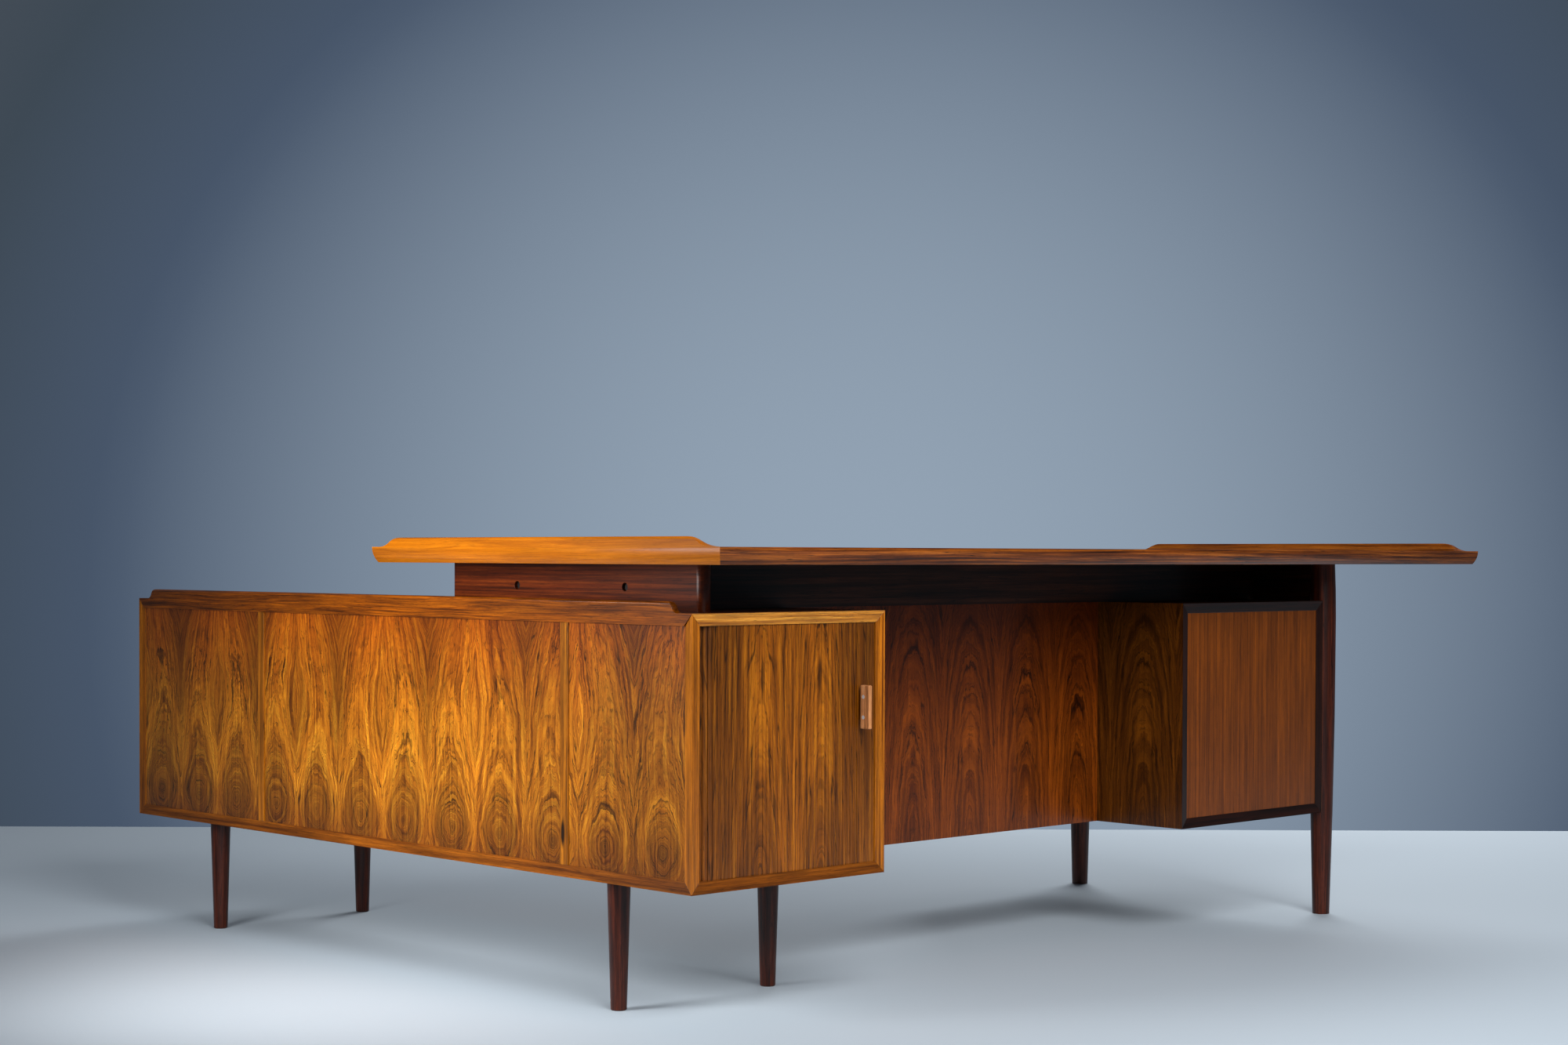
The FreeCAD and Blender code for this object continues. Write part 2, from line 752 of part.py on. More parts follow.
slat_floor = minus(inner_floor, "curtain_groove_depth - curtain_floor_gap")
slat_height = f"({inner_height} + 2 * (curtain_groove_depth - curtain_floor_gap))"
stile_right = minus(return_inner_right, "stile_end_gap")
stile_left = minus(stile_right, "stile_width")

piece("tambour_lead_stile", block(
    "tambour_lead_stile", stile_left, curtain_front, slat_floor,
    "stile_width", "curtain_thickness", slat_height))


def slat_solid(width):
    """One slat, its back on the X axis and its face towards -Y, its front edges eased."""
    thickness = value("curtain_thickness")
    ease = value("slat_ease")
    shoulder = thickness - ease
    outline = [(-width / 2, 0), (width / 2, 0), (width / 2, -shoulder), (width / 2 - ease, -thickness),
               (ease - width / 2, -thickness), (-width / 2, -shoulder), (-width / 2, 0)]
    wire = Part.makePolygon([FreeCAD.Vector(x, y, 0) for x, y in outline])
    return Part.Face(wire).extrude(FreeCAD.Vector(0, 0, value(slat_height)))


def slat_curtain():
    """All slats, those past the corner turned with it."""
    back = value(curtain_middle) + value("curtain_thickness") / 2
    run = value(stile_left) - value(turn_x)
    count = round(run / value("slat_width"))
    pitch = run / count
    width = pitch - value("slat_gap")
    floor = value(slat_floor)
    slats = []
    for number in range(count):
        slat = slat_solid(width)
        slat.translate(FreeCAD.Vector(value(stile_left) - (number + 1 / 2) * pitch, back, floor))
        slats.append(slat)
    centre = FreeCAD.Vector(value(turn_x), value(turn_y), 0)
    inner_arc = value("curtain_turn_radius - curtain_thickness / 2") * math.pi / 2
    corner_count = int(inner_arc / width)
    for number in range(corner_count):
        slat = slat_solid(width)
        slat.translate(FreeCAD.Vector(value(turn_x), back, floor))
        slat.rotate(centre, Z, -(number + 1 / 2) * 90 / corner_count)
        slats.append(slat)
    return Part.Compound(slats)


curtain = doc.addObject("Part::Feature", "tambour_slats")
curtain.Shape = slat_curtain()
piece("tambour_slats", curtain)

# Pull: an alloy angle on the lead stile, with a wooden grip screwed to it

grip_right = minus(stile_right, "grip_edge_inset")
grip_left = minus(grip_right, "grip_thickness")
grip_centre_height = minus(carcass_top, "grip_drop")
bracket_floor = minus(grip_centre_height, "bracket_height / 2")
bracket = padded(
    "pull_angle", "XY_Plane",
    [("0", "0"), ("bracket_foot", "0"), ("bracket_foot", "-bracket_thickness"),
     ("bracket_thickness", "-bracket_thickness"), ("bracket_thickness", "-bracket_reach"),
     ("0", "-bracket_reach")],
    "bracket_height")
place(bracket, grip_right, curtain_front, bracket_floor)

grip_front = minus(curtain_front, "bracket_reach + bracket_thickness")
pull_screws = []
for count, side in enumerate((-1, 1), start=1):
    screw_y = total(grip_front, "grip_screw_setback")
    screw_z = total(grip_centre_height, f"{side} * grip_screw_spacing / 2")
    shank = rod(f"pull_screw_shank_{count}", "grip_screw_radius", "grip_thickness + bracket_thickness",
                grip_left, screw_y, screw_z, ALONG_X)
    head = rod(f"pull_screw_head_{count}", "grip_screw_head_radius", "grip_screw_head_height",
               grip_left, screw_y, screw_z, ALONG_X)
    pull_screws.append(fuse(f"pull_screw_{count}", shank, head))
pull_screw_group = piece("pull_screws", group("pull_screws", *pull_screws))

grip_blank = block(
    "pull_grip_blank", grip_left, grip_front, minus(grip_centre_height, "grip_height / 2"),
    "grip_thickness", "grip_depth", "grip_height")
doc.recompute()
grip_soft = doc.addObject("Part::Fillet", "pull_grip_soft")
grip_soft.Base = grip_blank
grip_soft.Edges = [(number, value("grip_round"), value("grip_round"))
                   for number in range(1, len(grip_blank.Shape.Edges) + 1)]
piece("pull_grip", cut("pull_grip", grip_soft, pull_screw_group))
piece("pull_bracket", cut("pull_bracket", bracket, pull_screw_group))

# Sliding doors of the centre bay, which pass each other in two tracks

door_width = f"(({minus(centre_bay_far, centre_bay_near)} + door_overlap) / 2)"


def sliding_door(name, door_right, door_near, pull_near):
    """Door with tongues above and below and a cupped upright pull."""
    door_left = minus(door_right, "door_thickness")
    middle = minus(door_right, "door_thickness / 2")
    door_far = total(door_near, door_width)
    leaf = between(
        f"{name}_leaf", (door_left, door_right), (door_near, door_far),
        (total(inner_floor, "door_edge_gap"), minus(inner_top, "door_edge_gap")))
    tongue = between(
        f"{name}_tongue",
        (minus(middle, "door_tongue / 2"), total(middle, "door_tongue / 2")), (door_near, door_far),
        (minus(inner_floor, "track_depth - track_clearance"),
         total(inner_top, "track_depth - door_lift")))
    pull_left = minus(door_right, "door_pull_depth")
    pull_middle = total(pull_near, "door_pull_width / 2")
    pull_floor = total(inner_floor, f"({inner_height} - door_pull_length + door_pull_width) / 2")
    slot = between(
        f"{name}_pull_slot", (pull_left, door_right),
        (pull_near, total(pull_near, "door_pull_width")),
        (pull_floor, total(pull_floor, "door_pull_length - door_pull_width")))
    ends = [
        rod(f"{name}_pull_{end}", "door_pull_width / 2", "door_pull_depth",
            pull_left, pull_middle, end_z, ALONG_X)
        for end, end_z in (("floor", pull_floor),
                           ("top", total(pull_floor, "door_pull_length - door_pull_width")))
    ]
    blank = fuse(f"{name}_blank", leaf, tongue)
    return piece(name, cut(name, blank, fuse(f"{name}_pull", slot, *ends)))


near_door_near = centre_bay_near
far_door_near = minus(centre_bay_far, door_width)
sliding_door("sliding_door_near", outer_door_right, near_door_near, total(near_door_near, "door_pull_inset"))
sliding_door("sliding_door_far", inner_door_right, far_door_near,
             minus(centre_bay_far, "door_pull_inset + door_pull_width"))

# Pedestal: carcass

visitor_bars = face_lippings(
    "pedestal_visitor", X, [pedestal_left, pedestal_near, "carcass_floor"], "pedestal_width")
user_bars = face_lippings(
    "pedestal_user", X * -1, [pedestal_right, pedestal_far, "carcass_floor"], "pedestal_width")
piece("pedestal_visitor_frame", group("pedestal_visitor_frame", *visitor_bars.values()))
piece("pedestal_user_frame", group("pedestal_user_frame", *user_bars.values()))

flat_outside = ("0", "pedestal_depth", "0", "pedestal_width")
flat_inside = ("board", "pedestal_depth - board", "board", "pedestal_width - board")
piece("pedestal_top", taper(
    "pedestal_top", flat_inside, flat_outside, "board",
    pedestal_left, pedestal_near, inner_top, TAPER_UP))
piece("pedestal_bottom", taper(
    "pedestal_bottom", flat_outside, flat_inside, "board",
    pedestal_left, pedestal_near, "carcass_floor", TAPER_UP))
side_outside = ("0", carcass_height, "0", "pedestal_depth")
side_inside = ("board", f"{carcass_height} - board", "board", "pedestal_depth - board")
piece("pedestal_inner_side", taper(
    "pedestal_inner_side", side_outside, side_inside, "board",
    pedestal_left, pedestal_near, "carcass_floor", TAPER_RIGHT))
piece("pedestal_outer_side", taper(
    "pedestal_outer_side", side_inside, side_outside, "board",
    minus(pedestal_right, "board"), pedestal_near, "carcass_floor", TAPER_RIGHT))
piece("pedestal_visitor_panel", between(
    "pedestal_visitor_panel", (total(pedestal_left, "board"), minus(pedestal_right, "board")),
    (total(pedestal_near, "panel_recess"), total(pedestal_near, "board")), bay_height))


# Drawers, each modelled with its front face on Y = 0, opening towards +Y

def drawer_box(name, width, length, height):
    """Two grooved sides, a back and a bottom."""
    side_height = f"({height} - 2 * drawer_edge_gap)"
    groove_floor = f"({height} / 2 - runner_height / 2 - runner_clearance)"
    behind = "(-front_thickness)"
    back_end = minus(behind, length)
    sides = []
    for hand, side_left, groove_left in (
            ("left", "drawer_side_gap", "0"),
            ("right", f"({width} - drawer_side_gap - drawer_side)",
             f"({width} - runner_reach - runner_clearance)")):
        board = block(f"{name}_{hand}_blank", side_left, back_end, "drawer_edge_gap",
                      "drawer_side", length, side_height)
        groove = block(f"{name}_{hand}_groove", groove_left, back_end, groove_floor,
                       "runner_reach + runner_clearance", length,
                       "runner_height + 2 * runner_clearance")
        sides.append(subtract(f"{name}_{hand}_side", board, groove))
    inside_left = "(drawer_side_gap + drawer_side)"
    inside_width = f"({width} - 2 * {inside_left})"
    back = block(f"{name}_back", inside_left, back_end, "drawer_edge_gap",
                 inside_width, "drawer_side", side_height)
    bottom = block(f"{name}_bottom", inside_left, total(back_end, "drawer_side"),
                   "drawer_edge_gap + drawer_bottom_rise",
                   inside_width, minus(length, "drawer_side"), "drawer_bottom")
    return [*sides, back, bottom]


def drawer_front(name, width, height):
    """Front with a finger notch cut through its upper edge."""
    board = block(f"{name}_board", "front_gap", "-front_thickness", "front_gap / 2",
                  f"{width} - 2 * front_gap", "front_thickness", f"{height} - front_gap")
    upper_edge = f"({height} - front_gap / 2)"
    notch_left = f"(({width} - notch_length) / 2 + notch_depth)"
    notch_right = total(notch_left, "notch_length - 2 * notch_depth")
    notch = between(f"{name}_notch", (notch_left, notch_right), ("-front_thickness", "0"),
                    (minus(upper_edge, "notch_depth"), upper_edge))
    ends = [
        rod(f"{name}_notch_{hand}", "notch_depth", "front_thickness", x, "0", upper_edge, TOWARDS_Y)
        for hand, x in (("left", notch_left), ("right", notch_right))
    ]
    return subtract(f"{name}_cut", board, fuse(f"{name}_notch_tool", notch, *ends))


RUNNERS = []


def drawer(name, x, y, floor, turn, width, length, height):
    """Drawer hung on two runners in an opening whose low corner is x, y, floor."""
    front = group(f"{name}_front", drawer_front(f"{name}_front", width, height))
    piece(f"{name}_front", place(front, x, y, floor, turn))
    box = group(f"{name}_box", *drawer_box(name, width, length, height))
    piece(f"{name}_box", place(box, x, y, floor, turn))
    runner_floor = f"({height} / 2 - runner_height / 2)"
    runner_back = total("-front_thickness", f"-({length})")
    strips = [
        block(f"{name}_runner_{hand}", left, runner_back, runner_floor,
              "runner_reach", minus(length, "runner_end_gap"), "runner_height")
        for hand, left in (("left", "0"), ("right", minus(width, "runner_reach")))
    ]
    RUNNERS.append(place(group(f"{name}_runners", *strips), x, y, floor, turn))


def drawer_stack(prefix, shares, x, y, turn, width, length):
    """Drawers one above another, from the floor of the opening up."""
    below = 0
    for number, share in enumerate(shares, start=1):
        floor = total(inner_floor, f"{inner_height} * {below}")
        drawer(f"{prefix}_drawer_{number}", x, y, floor, turn, width, length,
               f"({inner_height} * {share})")
        below += share


drawer_stack(
    "pedestal", PEDESTAL_DRAWER_SHARES, total(pedestal_left, "board"),
    minus(pedestal_far, "panel_recess"), UPRIGHT, "(pedestal_width - 2 * board)",
    "(pedestal_depth - board - panel_recess - front_thickness - drawer_back_gap)")
drawer_stack(
    "return", RETURN_DRAWER_SHARES, minus(return_right, "panel_recess"),
    minus(return_far, "board"), TURNED_TO_X,
    minus(minus(return_far, "board"), total(far_divider_middle, "board / 2")),
    "(return_width - board - panel_recess - front_thickness - drawer_back_gap)")
piece("drawer_runners", group("drawer_runners", *RUNNERS))

# Recompute, prove and write

doc.recompute()
for thing in doc.Objects:
    if "Invalid" in thing.State or "Error" in thing.State:
        raise RuntimeError(f"{thing.Label} failed: {thing.State}")
os.makedirs("parts", exist_ok=True)
for thing in PIECES:
    if thing.Shape.isNull() or not thing.Shape.isValid():
        raise RuntimeError(f"{thing.Label} has no valid shape")
for thing in PIECES:
    thing.Shape.exportStep(f"parts/{thing.Label}.step")
print(len(PIECES), "sub-parts,", sum(len(thing.Shape.Solids) for thing in PIECES), "solids")
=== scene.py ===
# %% [markdown]
# # An executive desk in rosewood
# This lesson dresses a finished CAD model of an L-shaped desk. The solids, their places and
# their joints are already right, so most of them stay and get a finish, and a few are replaced
# by finer surfaces. Rosewood is what the eye sees here, so most of the lesson is about wood:
# how a log is cut, how its veneer leaves are laid side by side, and what lacquer does to them.

# %% The fixed frame
import math

import bpy
import numpy as np
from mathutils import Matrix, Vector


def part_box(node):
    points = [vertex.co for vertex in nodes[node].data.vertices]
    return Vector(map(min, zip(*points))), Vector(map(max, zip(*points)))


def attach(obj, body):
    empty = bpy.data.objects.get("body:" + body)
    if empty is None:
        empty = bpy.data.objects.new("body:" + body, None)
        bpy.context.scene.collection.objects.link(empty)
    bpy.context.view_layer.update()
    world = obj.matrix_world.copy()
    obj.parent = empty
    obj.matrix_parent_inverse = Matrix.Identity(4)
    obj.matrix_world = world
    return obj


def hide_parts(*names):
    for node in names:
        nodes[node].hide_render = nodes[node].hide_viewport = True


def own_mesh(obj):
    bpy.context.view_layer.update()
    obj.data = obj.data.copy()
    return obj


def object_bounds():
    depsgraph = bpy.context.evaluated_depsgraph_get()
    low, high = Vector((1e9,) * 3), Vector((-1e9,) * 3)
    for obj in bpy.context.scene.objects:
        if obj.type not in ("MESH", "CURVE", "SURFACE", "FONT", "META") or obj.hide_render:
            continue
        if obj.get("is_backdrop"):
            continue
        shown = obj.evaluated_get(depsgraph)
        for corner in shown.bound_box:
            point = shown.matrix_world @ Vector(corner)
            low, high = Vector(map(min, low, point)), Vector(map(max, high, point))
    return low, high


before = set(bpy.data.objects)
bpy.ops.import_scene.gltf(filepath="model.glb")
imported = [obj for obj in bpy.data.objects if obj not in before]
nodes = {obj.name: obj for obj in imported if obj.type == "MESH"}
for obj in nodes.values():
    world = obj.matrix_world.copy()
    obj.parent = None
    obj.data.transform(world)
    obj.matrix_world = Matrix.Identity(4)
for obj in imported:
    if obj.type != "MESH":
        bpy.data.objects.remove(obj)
cad_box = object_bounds()
MM = 0.001
print(len(nodes), "pieces come from the CAD model")

# %% [markdown]
# ## Colour
# Colours are given as sRGB hex codes, but shaders reckon in linear light. Converting each one by
# hand invites mistakes, so one function converts them all.

# %% Colour
def colour(code):
    """An sRGB hex code as linear red, green, blue and alpha.

    Dark shares are divided by 12.92; the others follow a power of 2.4.
    """
    share = np.array([int(code[place:place + 2], 16) for place in (1, 3, 5)]) / 255
    linear = np.where(share <= 0.04045, share / 12.92, ((share + 0.055) / 1.055) ** 2.4)
    return (*linear, 1.0)


print("middle grey, #808080, is", round(colour("#808080")[0], 3), "in linear light")

# %% [markdown]
# ## Nodes and materials
# A finish could be a picture wrapped round a board, but it would stretch. Shader nodes work the
# pattern out at every point, so it fits a board of any size. One function adds a node: its
# inputs go by order, a node given as an input stands for its first output, and the settings
# are the node's own properties. The others reckon, start a material, tune it and put it on.

# %% Node and material helpers
def add(tree, kind, inputs=(), stops=(), points=(), **settings):
    """Add one shader node. Stops fill a colour ramp, and points a float curve."""
    made = tree.nodes.new("ShaderNode" + kind)
    for name, setting in settings.items():
        setattr(made, name, setting)
    for count, (place, code) in enumerate(stops):
        ramp = made.color_ramp.elements
        stop = ramp[count] if count < 2 else ramp.new(place)
        stop.position, stop.color = place, colour(code)
    for count, (place, height) in enumerate(points):
        curve = made.mapping.curves[0].points
        if count < 2:
            curve[count].location = (place, height)
        else:
            curve.new(place, height)
    open_sockets = [socket for socket in made.inputs if socket.enabled]
    for socket, given in zip(open_sockets, inputs):
        if isinstance(given, bpy.types.Node):
            given = next(output for output in given.outputs if output.enabled)
        if isinstance(given, bpy.types.NodeSocket):
            tree.links.new(given, socket)
        elif given is not None:
            socket.default_value = given
    return made


def maths(tree, operation, *inputs):
    """Add a Math node, which reckons with numbers."""
    return add(tree, "Math", inputs, operation=operation)


def vectors(tree, operation, *inputs):
    """Add a Vector Math node, which reckons with places and colours."""
    return add(tree, "VectorMath", inputs, operation=operation)


def new_material(name):
    """An empty material, its tree and its shader."""
    made = bpy.data.materials.new(name)
    made.use_nodes = True
    return made, made.node_tree, made.node_tree.nodes["Principled BSDF"]


def tune(shader, settings):
    """Set inputs of a shader by their names."""
    for name, setting in settings.items():
        shader.inputs[name].default_value = setting


def dress(finish, *names):
    """Give the named CAD pieces one finish."""
    for name in names:
        slots = nodes[name].data.materials
        slots.clear()
        slots.append(finish)
    print(finish.name, "on", len(names), "pieces")


triangles = sum(len(node.data.polygons) for node in nodes.values())
print(triangles, "triangles of the CAD model wait for a finish")

# %% [markdown]
# ## Where the grain runs
# Wood is the same pattern turned to suit each board. A Mapping node could turn it by any angle,
# but every board here is square to the desk, so the axes of the Object coordinates are swapped
# until the last one runs along the grain. They are metres, so every pattern has its real size.
# Pairs such as FIBRE or PORE below are the width and length of the spots of a noise, which is
# drawn out along the grain.

# %% Grain axes
def grain_axes(tree, order):
    """Object coordinates in another order: across the face, into it, along the grain."""
    place = add(tree, "TexCoord").outputs["Object"]
    parts = add(tree, "SeparateXYZ", (place,))
    return add(tree, "CombineXYZ", [parts.outputs[letter] for letter in order])


def grain_noise(tree, at, width, length, detail=3.0, roughness=0.55, shift=0.0):
    """Noise drawn out along the grain, whose spots have this width and length in metres."""
    scaled = vectors(tree, "MULTIPLY_ADD", at, (1 / width, 1 / width, 1 / length), (shift,) * 3)
    return add(tree, "TexNoise", (scaled, 1.0, detail, roughness))


board_low, board_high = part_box("desk_top_panel")
print("the longest grain, the desk top's, is", round((board_high - board_low).x / MM), "mm")

# %% [markdown]
# ## Lacquered wood
# The desk was sanded, its pores were partly filled, and a thin coat of lacquer was sprayed on
# and rubbed down. It is smooth but not a mirror, so the roughness is about a third, under a
# thin clear coat. The index of refraction of cured lacquer is near 1.5. Every face reflects the
# even backdrop, where a real room is mostly dark, so the specular level is half of its usual
# 0.5 and the dark woods stay dark. Fibres and pores are too fine for a mesh, so they darken the
# tone instead, and a faint bump keeps reflections from looking like glass.

# %% Lacquer
LACQUER = {"IOR": 1.5, "Roughness": 0.34, "Specular IOR Level": 0.25, "Coat Roughness": 0.10}
FIBRE = (1.1 * MM, 60 * MM)    # coarser than real fibres, so that they show
FIBRE_RANGE = (0.36, 0.62)    # values of the noise where a fibre is darkest and palest
FIBRE_DEPTH = 0.04 * MM
FIBRE_BUMP = 0.35
PORE = (0.8 * MM, 16 * MM)    # coarser too, as real pores are 0.2 mm wide at most
PORE_RANGE = (0.30, 0.40)


def lacquered(tree, shader, tone, at, depth=0.3, coat=0.12):
    """Darken a tone by its fibres and open pores, and feed it to the shader under lacquer.

    Depth is the share of light that a fibre takes away; a pore takes half as much again.
    """
    fibre = grain_noise(tree, at, *FIBRE, 3.0, 0.6)
    pores = grain_noise(tree, at, *PORE, 1.0, shift=3)
    fibres = add(tree, "MapRange", (fibre, *FIBRE_RANGE, 1.0 - depth, 1.0 + depth * 0.3))
    holes = add(tree, "MapRange", (pores, *PORE_RANGE, 1.0 - 1.5 * depth, 1.0))
    shade = maths(tree, "MULTIPLY", fibres, holes)
    surface = vectors(tree, "SCALE", tone, shade)
    bump = add(tree, "Bump", (FIBRE_BUMP, FIBRE_DEPTH, None, fibre))
    tree.links.new(surface.outputs[0], shader.inputs["Base Color"])
    tree.links.new(bump.outputs["Normal"], shader.inputs["Normal"])
    tune(shader, {**LACQUER, "Coat Weight": coat})


print("fibres are drawn", round(FIBRE[0] / MM, 1), "mm wide and pores", round(PORE[0] / MM, 1))

# %% [markdown]
# ## Resin lines
# Rosewood is known by its near-black lines, where resin gathered as a season ended. They
# wander, sometimes meet, and fade out. Curves could be drawn for them, but the contours of a
# smooth noise, as on a map, do all that by themselves, and a second noise fades them.

# %% Resin lines
SMOOTH = {"interpolation_type": "SMOOTHSTEP"}    # a range that is eased at both ends
CONTOURS = 5.0    # contours over the whole range of the noise
FADE = (24 * MM, 120 * MM)
FADE_RANGE = (0.45, 0.62)


def ink_lines(tree, at, spacing, length, thin, depth, shift=0.0):
    """Near-black resin lines: thin is their half width, and depth the light they take away."""
    field = grain_noise(tree, at, spacing * 2, length, 2.0, 0.5, shift)
    levels = maths(tree, "MULTIPLY", field, CONTOURS)
    near = maths(tree, "PINGPONG", levels, 0.5)
    fade = grain_noise(tree, at, *FADE, 2.0, shift=shift + 5)
    least = add(tree, "MapRange", (fade, *FADE_RANGE, 1.0 - depth, 1.0))
    return add(tree, "MapRange", (near, 0.0, thin, least, 1.0), **SMOOTH)


print("resin lines come and go every", round(FADE[1] / MM), "mm")

# %% [markdown]
# ## Knots
# A knot is where a branch began: a dark ellipse with a soft rim, longer along the grain. A noise
# could scatter knots, but only a few boards show one, so each is placed one by one.

# %% Knots
KNOT_CORE = 0.4    # share of its radius that is darkest


def knot_shade(tree, at, knots):
    """Shade of dark knots, each an ellipse: across, along, width and length in mm, shade left.

    The place less the centre, divided by the two half axes, has length 1 on the ellipse.
    """
    shade = 1.0
    for across, along, width, length, left in knots:
        offset = vectors(tree, "SUBTRACT", at, (across * MM, 0, along * MM))
        sized = vectors(tree, "MULTIPLY", offset, (2 / width / MM, 0, 2 / length / MM))
        reach = vectors(tree, "LENGTH", sized).outputs["Value"]
        spot = add(tree, "MapRange", (reach, KNOT_CORE, 1.0, left, 1.0), **SMOOTH)
        shade = maths(tree, "MULTIPLY", spot, shade)
    return shade


print("a knot is darkest out to", KNOT_CORE, "of its radius")

# %% [markdown]
# ## End grain
# Where a board is cut across, its open fibres drink the lacquer and turn dark and even. The
# ends could have a material of their own, but the way a surface faces tells them from the sides.

# %% End grain
END_FACING = (0.3, 0.9)    # how squarely a face looks along the grain, side and end
END_SHARE = 0.8


def end_grain(tree, tone, order, dark):
    """Blend the tone into a dark one on faces across the grain."""
    normal = add(tree, "SeparateXYZ", (add(tree, "NewGeometry").outputs["Normal"],))
    facing = maths(tree, "ABSOLUTE", normal.outputs[order[2]])
    share = add(tree, "MapRange", (facing, *END_FACING, 0.0, END_SHARE))
    return add(tree, "Mix", (share, tone, colour(dark)), data_type="RGBA")


print("ends take", END_SHARE, "of the dark tone")

# %% [markdown]
# ## Mitred frames
# Where two bars of a frame meet at a mitre, the grain turns. The bars of one piece could get
# two materials, face by face, but the material can find the bar by itself: a point belongs to
# the bar whose outer edge is nearer.

# %% Mitred frames
def frame_axes(tree, order, other, box):
    """Axes for a mitred frame: other where its outer edges, crossed by order's grain, are nearer.

    The distance to the nearer of two opposite edges is half the width of the box less the
    distance to its middle, so comparing the two distances finds the bar.
    """
    place = add(tree, "SeparateXYZ", (add(tree, "TexCoord").outputs["Object"],))
    away = []
    for letter in (order[2], other[2]):
        low, high = (getattr(corner, letter.lower()) for corner in box)
        offset = maths(tree, "SUBTRACT", place.outputs[letter], (high + low) / 2)
        away.append(maths(tree, "SUBTRACT", (high - low) / 2, maths(tree, "ABSOLUTE", offset)))
    turned = maths(tree, "LESS_THAN", *away)
    return add(tree, "Mix", (turned, grain_axes(tree, order), grain_axes(tree, other)),
               data_type="VECTOR")


return_box = (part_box("return_bottom_rails")[0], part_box("return_top_rails")[1])
print("the return's frame is", round((return_box[1] - return_box[0]).z / MM), "mm high")

# %% [markdown]
# ## Boards of solid rosewood
# Edges, frames and legs are cut from the solid. Straight-grained rosewood shows narrow bands of
# growth, light and dark brown, drawn out along the board. A wave texture's bands would be too
# regular, so three noises do it: one bends the board a little, one bands it, and a broad one
# shades it in patches, as a plank is never one colour. A shift moves a board to another part of
# the noise, so that no two are alike.

# %% Boards
BEND = (60 * MM, 400 * MM)
PATCH = (14 * MM, 160 * MM)
NOISE_LOW, NOISE_HIGH = 0.34, 0.64    # a noise is seldom farther from its middle than this


def solid_wood(name, order, tones, band=6 * MM, length=420 * MM, waver=2 * MM, ink=0.7,
               coat=0.12, shift=0.0, mitre=None, depth=0.3, knots=()):
    """Board of growth bands, as wide as given, that waver along their length."""
    made, tree, shader = new_material(name)
    light, middle, dark = tones
    at = frame_axes(tree, order, *mitre) if mitre else grain_axes(tree, order)
    bend = grain_noise(tree, at, *BEND, 1.0, shift=shift)
    bent = vectors(tree, "MULTIPLY_ADD", bend.outputs["Color"], (waver * 2, waver * 2, 0), at)
    bands = grain_noise(tree, bent, band * 2, length, 5.0, 0.66, shift)
    broad = grain_noise(tree, bent, *PATCH, 3.0, 0.6, shift + 13)
    patches = add(tree, "MapRange", (broad, NOISE_LOW, NOISE_HIGH, 1.0 - depth, 1.0 + depth * 0.6))
    tone = add(tree, "ValToRGB", (bands,), stops=((0.36, dark), (0.64, light), (0.50, middle)))
    inked = ink_lines(tree, bent, band * 1.5, length, 0.07, ink, shift + 7)
    shade = maths(tree, "MULTIPLY", inked, knot_shade(tree, at, knots))
    shade = maths(tree, "MULTIPLY", shade, patches)
    lined = vectors(tree, "SCALE", tone, shade)
    if not mitre:
        lined = end_grain(tree, lined, order, dark)
    lacquered(tree, shader, lined, bent, depth, coat)
    return made


print("a plank's patches are", round(PATCH[0] / MM), "by", round(PATCH[1] / MM), "mm")

# %% [markdown]
# ## The return's frame
# Rails and posts of the return are solid rosewood, planed and lacquered. The top rails have the
# palest tones of the frame, partly their own fine straight lines of pale wood and partly painted
# light, while the bottom rails are a plain brown.

# %% Return frame
HONEY = ("#D27A18", "#B0620A", "#6E3404")
# Paler tones for the top rails: their own wood and painted light.
PALE_HONEY_AND_PAINTED_LIGHT = ("#E29A38", "#C67C24", "#884A0E")
BROWN = ("#9A540E", "#804208", "#582A04")
dress(solid_wood("rosewood_top_rails", "XZY", PALE_HONEY_AND_PAINTED_LIGHT, band=2 * MM,
                 mitre=("YZX", return_box), ink=0.6), "return_top_rails")
dress(solid_wood("rosewood_bottom_rails", "XZY", BROWN, band=4 * MM, waver=1 * MM,
                 mitre=("YZX", return_box), ink=0.4), "return_bottom_rails")
dress(solid_wood("rosewood_return_posts", "XYZ", HONEY, band=2 * MM, shift=2.0, ink=0.6),
      "return_corner_posts")

# %% [markdown]
# ## Divider strips and lip band
# Two upright strips divide the outer side into three panels. They are the same wood, planed and
# lacquered, but darker, and the near one has a black knot low down. The raised band over the
# top rail is a broader board cut aslant, so its lines swell and narrow along it.

# %% Strips and lip band
DARK_HONEY = ("#BC7010", "#9C580A", "#724004")
SLANTED = ("#9C5002", "#7E3C00", "#4A2000")
STRIP_KNOT = (-478, 278, 13, 60, 0.04)
dress(solid_wood("rosewood_strips", "YXZ", DARK_HONEY, band=3 * MM, waver=1 * MM, shift=3.0,
                 knots=(STRIP_KNOT,)), "return_divider_strips")
dress(solid_wood("rosewood_lip_band", "XZY", SLANTED, band=1.8 * MM, length=220 * MM,
                 waver=9 * MM, ink=0.5, shift=4.0), "return_lip_band")

# %% [markdown]
# ## The rim of the desk top
# Four solid pieces of lacquered rosewood frame the desk top. Its raised ends are shaped from
# thick boards, the left one calm and orange, the right one browner, with more lines. The long
# edges show fine dark lines from end to end, and were rubbed down more, to a thinner coat.

